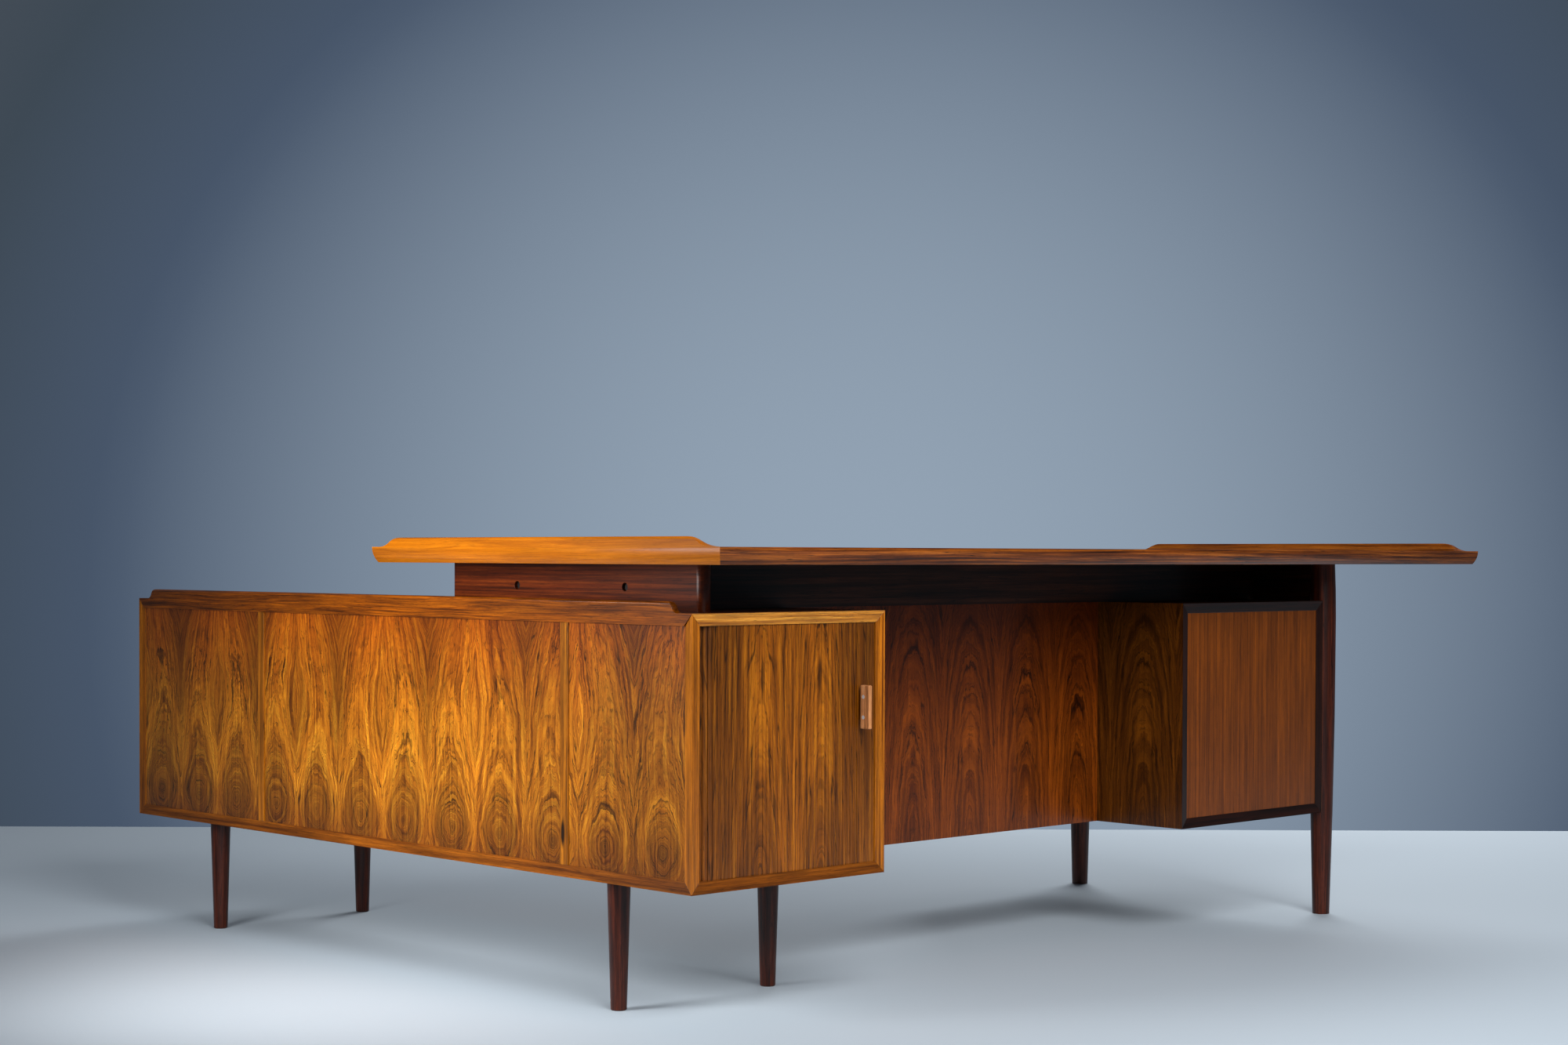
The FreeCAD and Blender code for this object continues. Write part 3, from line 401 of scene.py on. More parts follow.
# %% Rim of the desk top
CALM_ORANGE = ("#CA7206", "#BC6600", "#A85800")
ORANGE_BROWN = ("#C06A14", "#A4540C", "#6E3408")
LINED_BROWN = ("#B8641A", "#7C3B0A", "#3A1604")
dress(solid_wood("rosewood_desk_lips", "XZY", CALM_ORANGE, band=3 * MM, waver=12 * MM, ink=0.2,
                 shift=6.0, depth=0.12), "desk_left_lip")
dress(solid_wood("rosewood_desk_lip_right", "XZY", ORANGE_BROWN, band=3 * MM, length=300 * MM,
                 waver=8 * MM, ink=0.6, shift=7.0), "desk_right_lip")
dress(solid_wood("rosewood_desk_edges", "YZX", LINED_BROWN, band=2 * MM, length=400 * MM,
                 waver=3 * MM, ink=0.9, shift=8.0, coat=0.05),
      "desk_visitor_edge", "desk_user_edge")

# %% [markdown]
# ## Riser, rails and legs
# The riser board is red-brown and plain, and always in shade. The rails under the top and the
# floor of the return are dark boards that the eye hardly reads, and their dark tones are partly
# the wood's and partly painted shade, as they sit under the top and inside the return. The legs
# are turned from dark, straight-grained wood and rubbed down, so they hardly shine.

# %% Riser, rails and legs
RED_BROWN = ("#723008", "#5A2004", "#3A1302")
# Dark tones for the rails and the return's floor: dark wood and painted shade.
MAROON_AND_PAINTED_SHADE = ("#44200E", "#2C1205", "#160701")
TURNED_BROWN = ("#642A14", "#481B0C", "#2C0E05")
dress(solid_wood("rosewood_riser", "XZY", RED_BROWN, band=2.4 * MM, ink=0.3, shift=9.0,
                 coat=0.05), "riser_board")
dress(solid_wood("rosewood_rails", "YZX", MAROON_AND_PAINTED_SHADE, band=5 * MM, shift=10.0),
      "apron_rail", "inner_rail")
dress(solid_wood("rosewood_leg_rail", "XZY", MAROON_AND_PAINTED_SHADE, band=5 * MM, shift=11.0),
      "leg_cross_rail", "return_bottom")
dress(solid_wood("rosewood_legs", "XYZ", TURNED_BROWN, band=3.5 * MM, length=300 * MM,
                 waver=3 * MM, shift=12.0, coat=0.05),
      "desk_leg_visitor", "desk_leg_user", "return_leg_near_outer", "return_leg_far_outer",
      "return_leg_near_user", "return_leg_far_user")

# %% [markdown]
# ## Pedestal frames
# The pedestal's panels are held by mitred bars of the darkest wood, which outline them. They
# are planed and lacquered without a clear coat, so no shine greys them.

# %% Pedestal frames
DARK_MAROON = ("#34150A", "#220C05", "#120602")
pedestal_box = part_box("pedestal_visitor_frame")
dress(solid_wood("rosewood_pedestal_frames", "XYZ", DARK_MAROON, band=4 * MM, shift=13.0,
                 mitre=("YZX", pedestal_box), coat=0.0),
      "pedestal_visitor_frame", "pedestal_user_frame")

# %% [markdown]
# ## Book-matched leaves
# Veneer is sliced from the log like ham, and two leaves that lay next to each other are opened
# like a book, each the mirror of the other. A leaf could be a mesh of its own, but folding the
# coordinates is simpler: PINGPONG runs them to the seam and back. Each leaf also lies a little
# deeper in the log, so no two are quite the same.

# %% Book-matched leaves
LEAF_SLICE = 2.2 * MM    # real leaves are 0.6 mm thick; more lets the change from each show


def bookmatched(tree, at, seam, leaf):
    """Fold the panel into one leaf: across it, down into the log, and along the grain."""
    parts = add(tree, "SeparateXYZ", (at,))
    beyond = maths(tree, "SUBTRACT", parts.outputs["X"], seam)
    folded = maths(tree, "PINGPONG", beyond, leaf)
    counted = maths(tree, "DIVIDE", beyond, leaf)
    number = maths(tree, "FLOOR", counted)
    sliced = maths(tree, "MULTIPLY", number, LEAF_SLICE)
    return add(tree, "CombineXYZ", (folded, sliced, parts.outputs["Z"]))


print("each leaf lies", round(LEAF_SLICE / MM, 1), "mm deeper in the log than the last")

# %% [markdown]
# ## How far the heart is
# A log is a stack of rings round its heart, and a leaf is a plane through them. Where the leaf
# passes near the heart, the rings show as ovals at the foot, arches over them, and lines above.
# Drawing these would need a curve for each, so only the distance from the heart is worked out:
# rings at even steps of it make all those figures by themselves.

# %% Distance from the heart
SWAY = (28 * MM, 70 * MM)
RIPPLE = (12 * MM, 34 * MM)
RISE_FROM, RISE_TO = -50, 150    # mm, the range that a rise curve can hold


def ring_place(tree, at, foot, top, leaf, heart, rise, lens=(), plume=(), waver=3 * MM,
               jagged=10 * MM):
    """Warped place on the leaf, its distance from the heart of the log, and its height.

    Three curves over the height, from foot to top, shape the figure: rise is how many mm the
    cut lies over the heart, lens pushes the grain away from the near seam, and plume draws it
    towards the far one, both in tenths of a metre. The distance is the length of the way to
    the heart, across and into the log, and a ripple as strong as jagged is added to it.
    """
    slow = grain_noise(tree, at, *SWAY, 2.0)
    bent = vectors(tree, "MULTIPLY_ADD", slow.outputs["Color"], (waver * 2, 0, waver * 2), at)
    parts = add(tree, "SeparateXYZ", (bent,))
    height = add(tree, "MapRange", (parts.outputs["Z"], foot + waver, top + waver, 0.0, 1.0))
    across = parts.outputs["X"]
    for points, near, far in ((lens, -0.1, 0.0), (plume, 0.0, 0.1)):
        if points:
            push = add(tree, "FloatCurve", (1.0, height), points=points)
            reach = add(tree, "MapRange", (parts.outputs["X"], 0.0, leaf, near, far))
            across = maths(tree, "MULTIPLY_ADD", push, reach, across)
    side = maths(tree, "SUBTRACT", across, heart + waver)
    cut = [(share, (over - RISE_FROM) / (RISE_TO - RISE_FROM)) for share, over in rise]
    away = add(tree, "FloatCurve", (1.0, height), points=cut)
    away = add(tree, "MapRange", (away, 0.0, 1.0, RISE_FROM * MM, RISE_TO * MM))
    true = vectors(tree, "LENGTH", add(tree, "CombineXYZ", (side, away)))
    warped = add(tree, "CombineXYZ", (across, parts.outputs["Y"], parts.outputs["Z"]))
    ripple = grain_noise(tree, warped, *RIPPLE, 4.0, 0.6, 9)
    distance = maths(tree, "MULTIPLY_ADD", ripple, jagged, true.outputs["Value"])
    return warped, distance, height


print("a cut may rise from", RISE_FROM, "to", RISE_TO, "mm over the heart")

# %% [markdown]
# ## Growth rings
# A year's wood starts pale and ends in a thin dark line, the late wood. A plain wave of stripes
# would be too even, so the years differ in width, and their lines are strong in some places
# and weak in others.

# %% Growth rings
YEARS = (20 * MM, 500 * MM)
YEAR_DRIFT = 20 * MM    # how far that noise moves the rings
STRONG = (12 * MM, 90 * MM)
STRONG_RANGE = (0.40, 0.62)
LATE_WOOD = (0.60, 0.94)    # where in a year the dark line starts and is full


def growth_rings(tree, at, ring, line):
    """Shade of the late wood: each ring darkens towards its edge and then ends.

    The place across the rings is divided by their width, with a slow noise added so that
    years differ, and what is left after the whole part is how far the ring has grown.
    """
    across = add(tree, "SeparateXYZ", (at,)).outputs["X"]
    years = grain_noise(tree, at, *YEARS, 3.0, shift=11)
    uneven = maths(tree, "MULTIPLY", years, YEAR_DRIFT / ring)
    count = maths(tree, "MULTIPLY_ADD", across, 1 / ring, uneven)
    grown = maths(tree, "FRACT", count)
    strong = grain_noise(tree, at, *STRONG, 2.0, shift=17)
    weight = add(tree, "MapRange", (strong, *STRONG_RANGE, 1.0, 1.0 - line))
    return add(tree, "MapRange", (grown, *LATE_WOOD, 1.0, weight), **SMOOTH)


print("the late wood takes up the last", round(1 - LATE_WOOD[0], 2), "of each ring")

# %% [markdown]
# ## Shades of a leaf
# The colour of the log also changes slowly. Its heart is darker, and so is the far seam high on a
# panel, while the near seam is often pale and bright. Lamps could fake these, but on the outer
# side they belong to the wood, so each is one soft shade over part of the leaf. On the tambour the
# same shades also paint the fall of the light, darker at its sides and brighter in its middle.

# %% Leaf shades
HEART_REACH = (4 * MM, 34 * MM)
SEAM_FROM = 0.3    # share of the leaf's width where the dark of the far seam begins
GLOW_TO = 0.5    # share of it where the glow of the near seam ends
SEAM_RANGE = (0.2, 1.0)    # share across times share of the height, where it is faint and full


def leaf_shades(tree, at, distance, height, leaf, seam_shade, heart_shade, glow):
    """Shades of the far seam, which deepens with the height, of the heart and of the glow."""
    across = add(tree, "SeparateXYZ", (at,))
    folded = add(tree, "MapRange", (across, SEAM_FROM * leaf, leaf, 0.0, 1.0))
    by_seam = maths(tree, "MULTIPLY", folded, height)
    seams = add(tree, "MapRange", (by_seam, *SEAM_RANGE, 1.0, 1.0 - seam_shade))
    hearts = add(tree, "MapRange", (distance, *HEART_REACH, 1.0 - heart_shade, 1.0), **SMOOTH)
    glows = add(tree, "MapRange", (across, 0.0, GLOW_TO * leaf, 1.0 + glow, 1.0), **SMOOTH)
    return seams, hearts, glows


print("the heart shades", round(HEART_REACH[1] / MM), "mm round it")

# %% [markdown]
# ## The veneer itself
# A colour ramp tones a mix of two noises: growth, which follows the rings, and streaks, which
# follow the leaf and hide the rings a little. Rings, resin lines and shades then multiply the
# tone, where mixing in black would grey it. Near the heart the rings are wide and faint.

# %% Veneer
GROWTH = (5 * MM, 260 * MM)
STREAKS = (5 * MM, 300 * MM)
RESIN = (6 * MM, 420 * MM)
TINT = (34 * MM, 420 * MM)
RING_REACH = (6 * MM, 40 * MM)    # distances from the heart with half and whole rings
STREAK_REACH = (4 * MM, 30 * MM)    # and those between which growth gains on the streaks
PLAIN = ((0.0, "#FFFFFF"), (1.0, "#FFFFFF"))


def veneer(name, order, seam, leaf, foot, top, heart, rise, tones, ring=4.5 * MM, line=0.5,
           ink=0.8, streak=0.5, shades=PLAIN, seam_shade=0.0, heart_shade=0.0, glow=0.0,
           coat=0.12, depth=0.3, knots=(), **figure):
    """Book-matched veneer: light, middle and dark tones, rings, resin lines, soft shades, and a
    ramp over the height that can paint light and shade.
    """
    made, tree, shader = new_material(name)
    light, middle, dark = tones
    at = bookmatched(tree, grain_axes(tree, order), seam, leaf)
    warped, distance, height = ring_place(tree, at, foot, top, leaf, heart, rise, **figure)
    parts = add(tree, "SeparateXYZ", (warped,))
    rings_at = add(tree, "CombineXYZ", (distance, parts.outputs["Y"], parts.outputs["Z"]))
    growth = grain_noise(tree, rings_at, *GROWTH, 4.0, 0.65)
    streaks = grain_noise(tree, warped, *STREAKS, 4.0, 0.65, 5)
    mixing = add(tree, "MapRange", (distance, *STREAK_REACH, max(streak, 0.75), streak))
    mixed = add(tree, "Mix", (mixing, growth, streaks))
    tone = add(tree, "ValToRGB", (mixed,), stops=((0.39, dark), (0.63, light), (0.50, middle)))
    fresh = add(tree, "MapRange", (distance, *RING_REACH, 0.5, 1.0))
    shade = add(tree, "Mix", (fresh, 1.0, growth_rings(tree, rings_at, ring, line)))
    inked = ink_lines(tree, rings_at, *RESIN, 0.09, ink, 21)
    broad = grain_noise(tree, rings_at, *TINT, 2.0, shift=31)
    patches = add(tree, "MapRange", (broad, NOISE_LOW, NOISE_HIGH, 0.72, 1.25))
    soft = leaf_shades(tree, at, distance, height, leaf, seam_shade, heart_shade, glow)
    for other in (inked, *soft, patches, knot_shade(tree, warped, knots)):
        shade = maths(tree, "MULTIPLY", shade, other)
    lined = vectors(tree, "SCALE", tone, shade)
    # The shades ramp over the height multiplies the colour: painted shade on the modesty panel,
    # and tone with painted light and shade on the outer side.
    shaded = vectors(tree, "MULTIPLY", lined, add(tree, "ValToRGB", (height,), stops=shades))
    lacquered(tree, shader, shaded, rings_at, depth, coat)
    return made


print("the tint of a leaf changes every", round(TINT[0] / MM), "mm across the rings")

# %% [markdown]
# ## The flame veneer of the outer side
# One row of leaves, 135 mm wide, covers all three panels, and the figure runs on behind the two
# strips, so one material covers all three. The leaves were glued, sanded level and lacquered.
# They give the eye ovals at the foot, bright waists between them, and dark feathers where the
# seams end.

# %% Flame veneer
panel_low, panel_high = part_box("return_outer_panel_middle")
FLAME_RISE = ((0.0, -32), (1.0, 70), (0.10, 0), (0.18, 24), (0.30, 44), (0.5, 60))
FLAME_LENS = ((0.0, 0.0), (1.0, 0.0), (0.30, 0.0), (0.45, 0.15), (0.62, 0.20), (0.8, 0.03))
FLAME_PLUME = ((0.0, 0.0), (1.0, 0.5), (0.55, 0.02), (0.75, 0.10))
# Ramp over the height: darker at the foot and warmer at the top, partly the log's tone and partly
# painted light and shade for the fall of the lamps' light.
FLAME_TONE_AND_PAINTED_LIGHT = ((0.0, "#CDBEA8"), (1.0, "#F4CC84"), (0.2, "#FFFFFF"), (0.55, "#FFFAEE"))
GOLDEN = ("#C8841E", "#A6600E", "#6C3604")
dress(veneer("rosewood_flame_veneer", "YXZ", seam=-515 * MM, leaf=135 * MM, foot=panel_low.z,
             top=panel_high.z, heart=66 * MM, rise=FLAME_RISE, lens=FLAME_LENS,
             plume=FLAME_PLUME, tones=GOLDEN, shades=FLAME_TONE_AND_PAINTED_LIGHT, seam_shade=0.4,
             heart_shade=0.3, glow=0.2, ring=2.6 * MM, line=0.6, waver=8 * MM,
             jagged=11 * MM, depth=0.36),
      "return_outer_panel_near", "return_outer_panel_middle", "return_outer_panel_far")

# %% [markdown]
# ## Crown-cut veneers
# The other panels are cut farther from the heart. Their rings climb as tall nested arches, called
# crowns, because the cut leaves the heart slowly. They differ in width and tone only, so they
# share one set of numbers. The modesty panel is reddish, and painted shade darkens it towards the
# desk top above it. The pedestal's sides are olive brown, darkened partly by painted shade, as
# they face away from the light. Doors, fixed panel and far end are the pale wood of the outer
# side. All have the same lacquer.

# %% Crown-cut veneers
CROWN_RISE = ((0.0, 8), (1.0, 95), (0.35, 34), (0.7, 62))
CROWN_CUT = {"foot": 0.208, "top": 0.7, "rise": CROWN_RISE, "streak": 0.35}
RED_TONES = ("#9E4C0A", "#823B05", "#602803")
# Olive tones, darkened partly by painted shade, for sides that face away from the light.
OLIVE_AND_PAINTED_SHADE = ("#7C440A", "#5E3005", "#3C1B03")
# Painted shade that darkens the modesty panel towards the desk top over it.
MODESTY_PAINTED_SHADE = ((0.3, "#FFFFFF"), (1.0, "#C8A48C"))
dress(veneer("rosewood_modesty_veneer", "XYZ", seam=-228.5 * MM, leaf=155 * MM, heart=77 * MM,
             tones=RED_TONES, shades=MODESTY_PAINTED_SHADE, **CROWN_CUT), "modesty_panel")
dress(veneer("rosewood_pedestal_veneer", "YXZ", seam=-717 * MM, leaf=155 * MM, heart=77 * MM,
             tones=OLIVE_AND_PAINTED_SHADE, **CROWN_CUT), "pedestal_inner_side", "pedestal_outer_side")
dress(veneer("rosewood_door_veneer", "YXZ", seam=-471.5 * MM, leaf=140 * MM, heart=70 * MM,
             tones=GOLDEN, **CROWN_CUT),
      "sliding_door_near", "sliding_door_far", "return_user_fixed_panel")
dress(veneer("rosewood_end_veneer", "XYZ", seam=-860 * MM, leaf=190 * MM, heart=95 * MM,
             tones=GOLDEN, **CROWN_CUT), "return_far_end_panel")

# %% [markdown]
# ## Straight veneers
# A leaf cut square to the rings is quartered: its lines are straight and close together, as on
# a board, so the boards' finish does for it, with fewer resin lines. Pedestal panel and drawer
# fronts read as one even orange brown. They are lacquered like the rest.

# %% Straight veneers
ORANGE = ("#8E4607", "#7A3B04", "#662F03")
fronts = [name for name in nodes if "drawer" in name and name.endswith("front")]
pedestal_fronts = [name for name in fronts if name.startswith("pedestal")]
return_fronts = [name for name in fronts if name.startswith("return")]
dress(solid_wood("rosewood_straight_veneer", "XYZ", ORANGE, band=1.6 * MM, length=500 * MM,
                 waver=1 * MM, ink=0.1, shift=20.0, depth=0.24),
      "pedestal_visitor_panel", *pedestal_fronts)
dress(solid_wood("rosewood_return_fronts", "YXZ", ORANGE, band=2 * MM, length=900 * MM,
                 waver=1 * MM, ink=0.15, shift=22.0), *return_fronts)

# %% [markdown]
# ## The tops
# Both tops are long quartered leaves, deep red brown and lacquered. They get a fuller clear
# coat than the rest, because hands rest on them, and it shows the room at a low angle.

# %% Tops
TOP_TONES = ("#6E3210", "#4E200A", "#2A0F05")
dress(solid_wood("rosewood_desk_top", "YZX", TOP_TONES, length=500 * MM, waver=5 * MM,
                 shift=24.0, coat=0.2), "desk_top_panel")
dress(solid_wood("rosewood_return_top", "XZY", TOP_TONES, band=8 * MM, length=700 * MM,
                 waver=6 * MM, shift=26.0, coat=0.2), "return_top")

# %% [markdown]
# ## Raw boards
# Top and bottom of the pedestal are bare boards out of sight, sawn and left dull. They scatter
# light, so the boards' finish is made rougher and reflects less.

# %% Raw boards
RAW = {"Roughness": 0.8, "Specular IOR Level": 0.1}
# The same dark tones, dark wood and painted shade, for the boards inside the pedestal.
raw_wood = solid_wood("raw_pedestal_boards", "YZX", MAROON_AND_PAINTED_SHADE, shift=25.0, coat=0.0)
tune(raw_wood.node_tree.nodes["Principled BSDF"], RAW)
dress(raw_wood, "pedestal_top", "pedestal_bottom")

# %% [markdown]
# ## Inside: drawer wood
# Drawers, shelf and partitions are a pale, plain wood such as maple, planed and waxed. They
# give a light, matt surface inside a dark cabinet: the boards' finish again, with pale tones,
# hardly any lines and no clear coat.

# %% Drawer wood
PALE = ("#C9A06A", "#B98C57", "#9A7040")
drawer_boxes = [name for name in nodes if "drawer" in name and name.endswith("box")]
dress(solid_wood("maple_drawer_wood", "XZY", PALE, ink=0.1, shift=30.0, coat=0.0, depth=0.12),
      "return_partitions", "return_shelf", "tambour_lining", "drawer_runners", *drawer_boxes)

# %% [markdown]
# ## Slats of the tambour
# The visitor end is closed by a tambour: narrow slats glued to cloth, which slide in a groove
# and bend round the corner. The slats are 8 mm wide and nearly flat, with eased edges, so that
# only a hairline shows between them. Their outline could be a rectangle with a bevel, but the
# face is also raised a little, so the outline is worked out point by point.

# %% Slat outline
SLAT = 8.0 * MM
JOINT = 0.35 * MM
CROWN = 0.25 * MM
EASE = 0.5 * MM
CURTAIN_THICKNESS = 7 * MM
FACE_POINTS = 7


def slat_profile():
    """One slat across its width: a flat back, eased edges and a face raised by a parabola."""
    half = (SLAT - JOINT) / 2
    spread = np.linspace(-1, 1, FACE_POINTS)
    face_across = spread * (half - EASE)
    face_up = CURTAIN_THICKNESS - CROWN * spread ** 2
    across = np.concatenate(([-half, -half], face_across, [half, half]))
    shoulder = CURTAIN_THICKNESS - CROWN - EASE
    up = np.concatenate(([0, shoulder], face_up, [shoulder, 0]))
    return across, up


print("a slat's outline has", len(slat_profile()[0]), "points")

# %% [markdown]
# ## Round the corner
# The groove runs straight and then turns a quarter circle, and the slats follow it. A Curve
# modifier could bend a flat curtain, but it needs a second object. Here the way that a point
# has gone along the groove gives the angle it has turned.

# %% Round the corner
TURN_RADIUS = 28 * MM


def carry_round(along, up, corner):
    """Places along a straight run and then round a quarter turn.

    Before the corner a point lies on the run. Past it, the surplus length divided by the
    radius is the angle turned, and the point lies on a circle about the corner's centre.
    """
    radius = TURN_RADIUS + up - CURTAIN_THICKNESS / 2
    angle = np.maximum(along, 0) / TURN_RADIUS
    x = corner[0] - np.minimum(along, 0) - radius * np.sin(angle)
    y = corner[1] - radius * np.cos(angle)
    return x, y


print("the turn is", round(TURN_RADIUS * math.pi / 2 / MM), "mm long")

# %% [markdown]
# ## Prisms
# Slats, the angle of the pull and the rail between the legs have one outline all the way up.
# They could be extruded curves, but one function does for all three. It puts the outline at both
# heights and joins the two with a wall and two caps.

# %% Prisms
def new_object(name, data):
    """A new object in the scene, at the origin."""
    made = bpy.data.objects.new(name, data)
    bpy.context.scene.collection.objects.link(made)
    return made


def prisms(name, x, y, low, high):
    """Upright prisms between two heights: each row of x and y is the outline of one.

    The points go prism by prism, low ring first. A wall face joins a point, the one over it,
    and both points of the next place on the ring.
    """
    count, ring = x.shape
    places = np.empty((count, 2, ring, 3))
    places[..., 0] = x[:, None, :]
    places[..., 1] = y[:, None, :]
    places[..., 2] = np.array([low, high])[None, :, None]
    here = np.arange(ring)
    ahead = (here + 1) % ring
    sides = np.stack([here, here + ring, ahead + ring, ahead], axis=1)
    first = np.arange(count) * 2 * ring
    faces = (first[:, None, None] + sides[None]).reshape(-1, 4).tolist()
    faces += (first[:, None] + here).tolist()
    faces += (first[:, None] + ring + here[::-1]).tolist()
    mesh = bpy.data.meshes.new(name)
    mesh.from_pydata(places.reshape(-1, 3), [], faces)
    mesh.validate()
    print(name, "has", len(faces), "faces")
    return new_object(name, mesh)


slats_low, slats_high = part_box("tambour_slats")
print("the slats stand", round((slats_high - slats_low).z / MM), "mm high")

# %% [markdown]
# ## The curtain
# The slats stand side by side from the lead stile to the end of the groove. An Array modifier
# could repeat one, but not round the corner. So each outline is carried along the groove to its
# place, and the pitch is such that a whole number of slats fills the way.

# %% Tambour curtain
def tambour_curtain(low, high, front):
    """All slats: each is a closed prism, its outline carried along the groove."""
    half = CURTAIN_THICKNESS / 2
    corner = (low.x + TURN_RADIUS + half, front + half + TURN_RADIUS)
    run = high.x - corner[0]
    length = run + TURN_RADIUS * math.pi / 2
    count = round(length / SLAT)
    pitch = length / count
    centres = -run + (np.arange(count) + 0.5) * pitch
    across, up = slat_profile()
    along = centres[:, None] + across[None, :] * pitch / SLAT
    x, y = carry_round(along, np.broadcast_to(up, along.shape), corner)
    print(count, "slats", round(pitch / MM, 2), "mm apart")
    return prisms("tambour_curtain", x, y, low.z, high.z)


curtain = tambour_curtain(slats_low, slats_high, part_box("tambour_lead_stile")[0].y)

# %% [markdown]
# ## Tambour veneer
# One pair of leaves was pressed over the slats before they were cut apart, so the figure runs on
# from slat to slat. The leaves lie nearly parallel to the rings, and their lines are straight but
# for narrow flames low on the curtain and a few dark knots. They are lacquered like the rest. The
# curtain is attached to the desk's frame rather than to the moving tambour, because a straight
# slide can't lead rigid slats round a corner.

# %% Tambour veneer
TAMBOUR_RISE = ((0.0, 0), (1.0, 50), (0.74, 16), (0.80, 28))
TAMBOUR_TONES = ("#B46A0E", "#8C4A06", "#663404")
TAMBOUR_KNOTS = ((64, 535, 11, 80, 0.3), (20, 400, 8, 110, 0.6))
FIGURE_FOOT = -1.0    # far under the floor, so that the rise changes slowly over the curtain
# The seam shade and glow darken the curtain towards its sides and brighten its middle: partly the
# veneer's figure and partly painted shade and light, where the lamps' light falls off to the
# sides.
tambour_veneer = veneer("rosewood_tambour_veneer", "XYZ", seam=-856 * MM, leaf=170 * MM,
                        foot=FIGURE_FOOT, top=0.634, heart=66 * MM, rise=TAMBOUR_RISE,
                        tones=TAMBOUR_TONES, streak=0.7, ring=4 * MM, seam_shade=0.45,
                        glow=0.3, knots=TAMBOUR_KNOTS, jagged=4 * MM, waver=2 * MM)
curtain.data.materials.append(tambour_veneer)
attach(curtain, "desk_frame")
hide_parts("tambour_slats")
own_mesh(curtain)
dress(tambour_veneer, "tambour_lead_stile")

# %% [markdown]
# ## The grip
# The pull's grip, held by two screws, is the palest wood of the desk, rounded by hand and
# oiled. A small piece shows short lines, so its bands are short as well.

# %% Grip
GRIP_TONES = ("#EEB07A", "#D68E58", "#B47648")
dress(solid_wood("rosewood_grip", "XYZ", GRIP_TONES, band=3 * MM, length=120 * MM, ink=0.3,
                 shift=40.0), "pull_grip")

# %% [markdown]
# ## Brushed metal
# A wire brush leaves fine parallel scratches, which stretch a highlight across them. The
# anisotropic setting does so too, but it needs a direction at every point. A noise drawn out
# along the scratches is simpler: it varies the roughness and bumps the surface. Oxide, zinc
# and oil hide much of the metal, so these count as metal only in part.

# %% Brushed metal
SCRATCH = (0.25 * MM, 12 * MM)    # coarser than real scratches, so that they show
SCRATCH_DEPTH = 0.02 * MM
SCRATCH_BUMP = 0.3
ROUGHNESS_SPREAD = 0.08


def brushed_metal(name, tint, order, roughness, metal):
    """Metal with fine parallel scratches, rougher in some than in others."""
    made, tree, shader = new_material(name)
    at = grain_axes(tree, order)
    lines = grain_noise(tree, at, *SCRATCH, 2.0)
    rough = add(tree, "MapRange", (lines, 0.3, 0.7, roughness - ROUGHNESS_SPREAD,
                                   roughness + ROUGHNESS_SPREAD))
    bump = add(tree, "Bump", (SCRATCH_BUMP, SCRATCH_DEPTH, None, lines))
    tree.links.new(rough.outputs[0], shader.inputs["Roughness"])
    tree.links.new(bump.outputs["Normal"], shader.inputs["Normal"])
    tune(shader, {"Base Color": colour(tint), "Metallic": metal})
    return made


# The screws of the pull are zinc-plated steel, pale and satin. Those in the riser are near-black
# steel, painted shade of the holes they sit in, so that they look like two dark holes.
dress(brushed_metal("zinc_plated_steel", "#E4E4E8", "YZX", 0.40, 0.3), "pull_screws")
dress(brushed_metal("steel_in_painted_hole_shade", "#2E2A28", "YZX", 0.40, 0.8), "riser_screws")

# %% [markdown]
# ## The angle of the pull
# The grip sits on an aluminium angle, extruded, brushed along its length and anodised, which
# leaves a satin grey. The CAD model's angle has a sharp inner corner and a longer leg, whose
# end shows as a pale line beside the grip. So it is drawn anew from its outline, with an
# extrusion's small round in the corner and its leg kept behind the grip.

# %% Pull angle
ANGLE_FOOT = 18 * MM
ANGLE_LEG = 19 * MM
ANGLE_THICKNESS = 2 * MM
ANGLE_FILLET = 1.5 * MM


def angle_profile(foot, reach, thickness, fillet):
    """Plan of an angle: foot and leg meet in a quarter circle of the fillet's radius."""
    turn = np.linspace(0, math.pi / 2, 6)
    x = np.concatenate(([0, foot, foot], thickness + fillet * (1 - np.sin(turn)),
                        [thickness, 0]))
    y = np.concatenate(([0, 0, -thickness], -thickness - fillet * (1 - np.cos(turn)),
                        [-reach, -reach]))
    return x, y


angle_low, angle_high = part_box("pull_bracket")
angle_x, angle_y = angle_profile(ANGLE_FOOT, ANGLE_LEG, ANGLE_THICKNESS, ANGLE_FILLET)
pull_angle = prisms("pull_angle", angle_low.x + angle_x[None], angle_high.y + angle_y[None],
                    angle_low.z, angle_high.z)
pull_angle.data.materials.append(brushed_metal("anodised_aluminium", "#DCE2E8", "XYZ", 0.45, 0.3))
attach(pull_angle, "tambour")
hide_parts("pull_bracket")

# %% [markdown]
# ## The rail between the tall legs
# The pedestal hangs beside this dark rail. Its lower edge is drawn two millimetres deeper than
# the solid, as a rail overlaps what hangs from it, or else a slit of light shows over the
# pedestal. Its upright corners are rounded, where the plank was sanded before glueing.

# %% Rail between the tall legs
RAIL_ROUND = 2 * MM
RAIL_DEEPER = 2 * MM


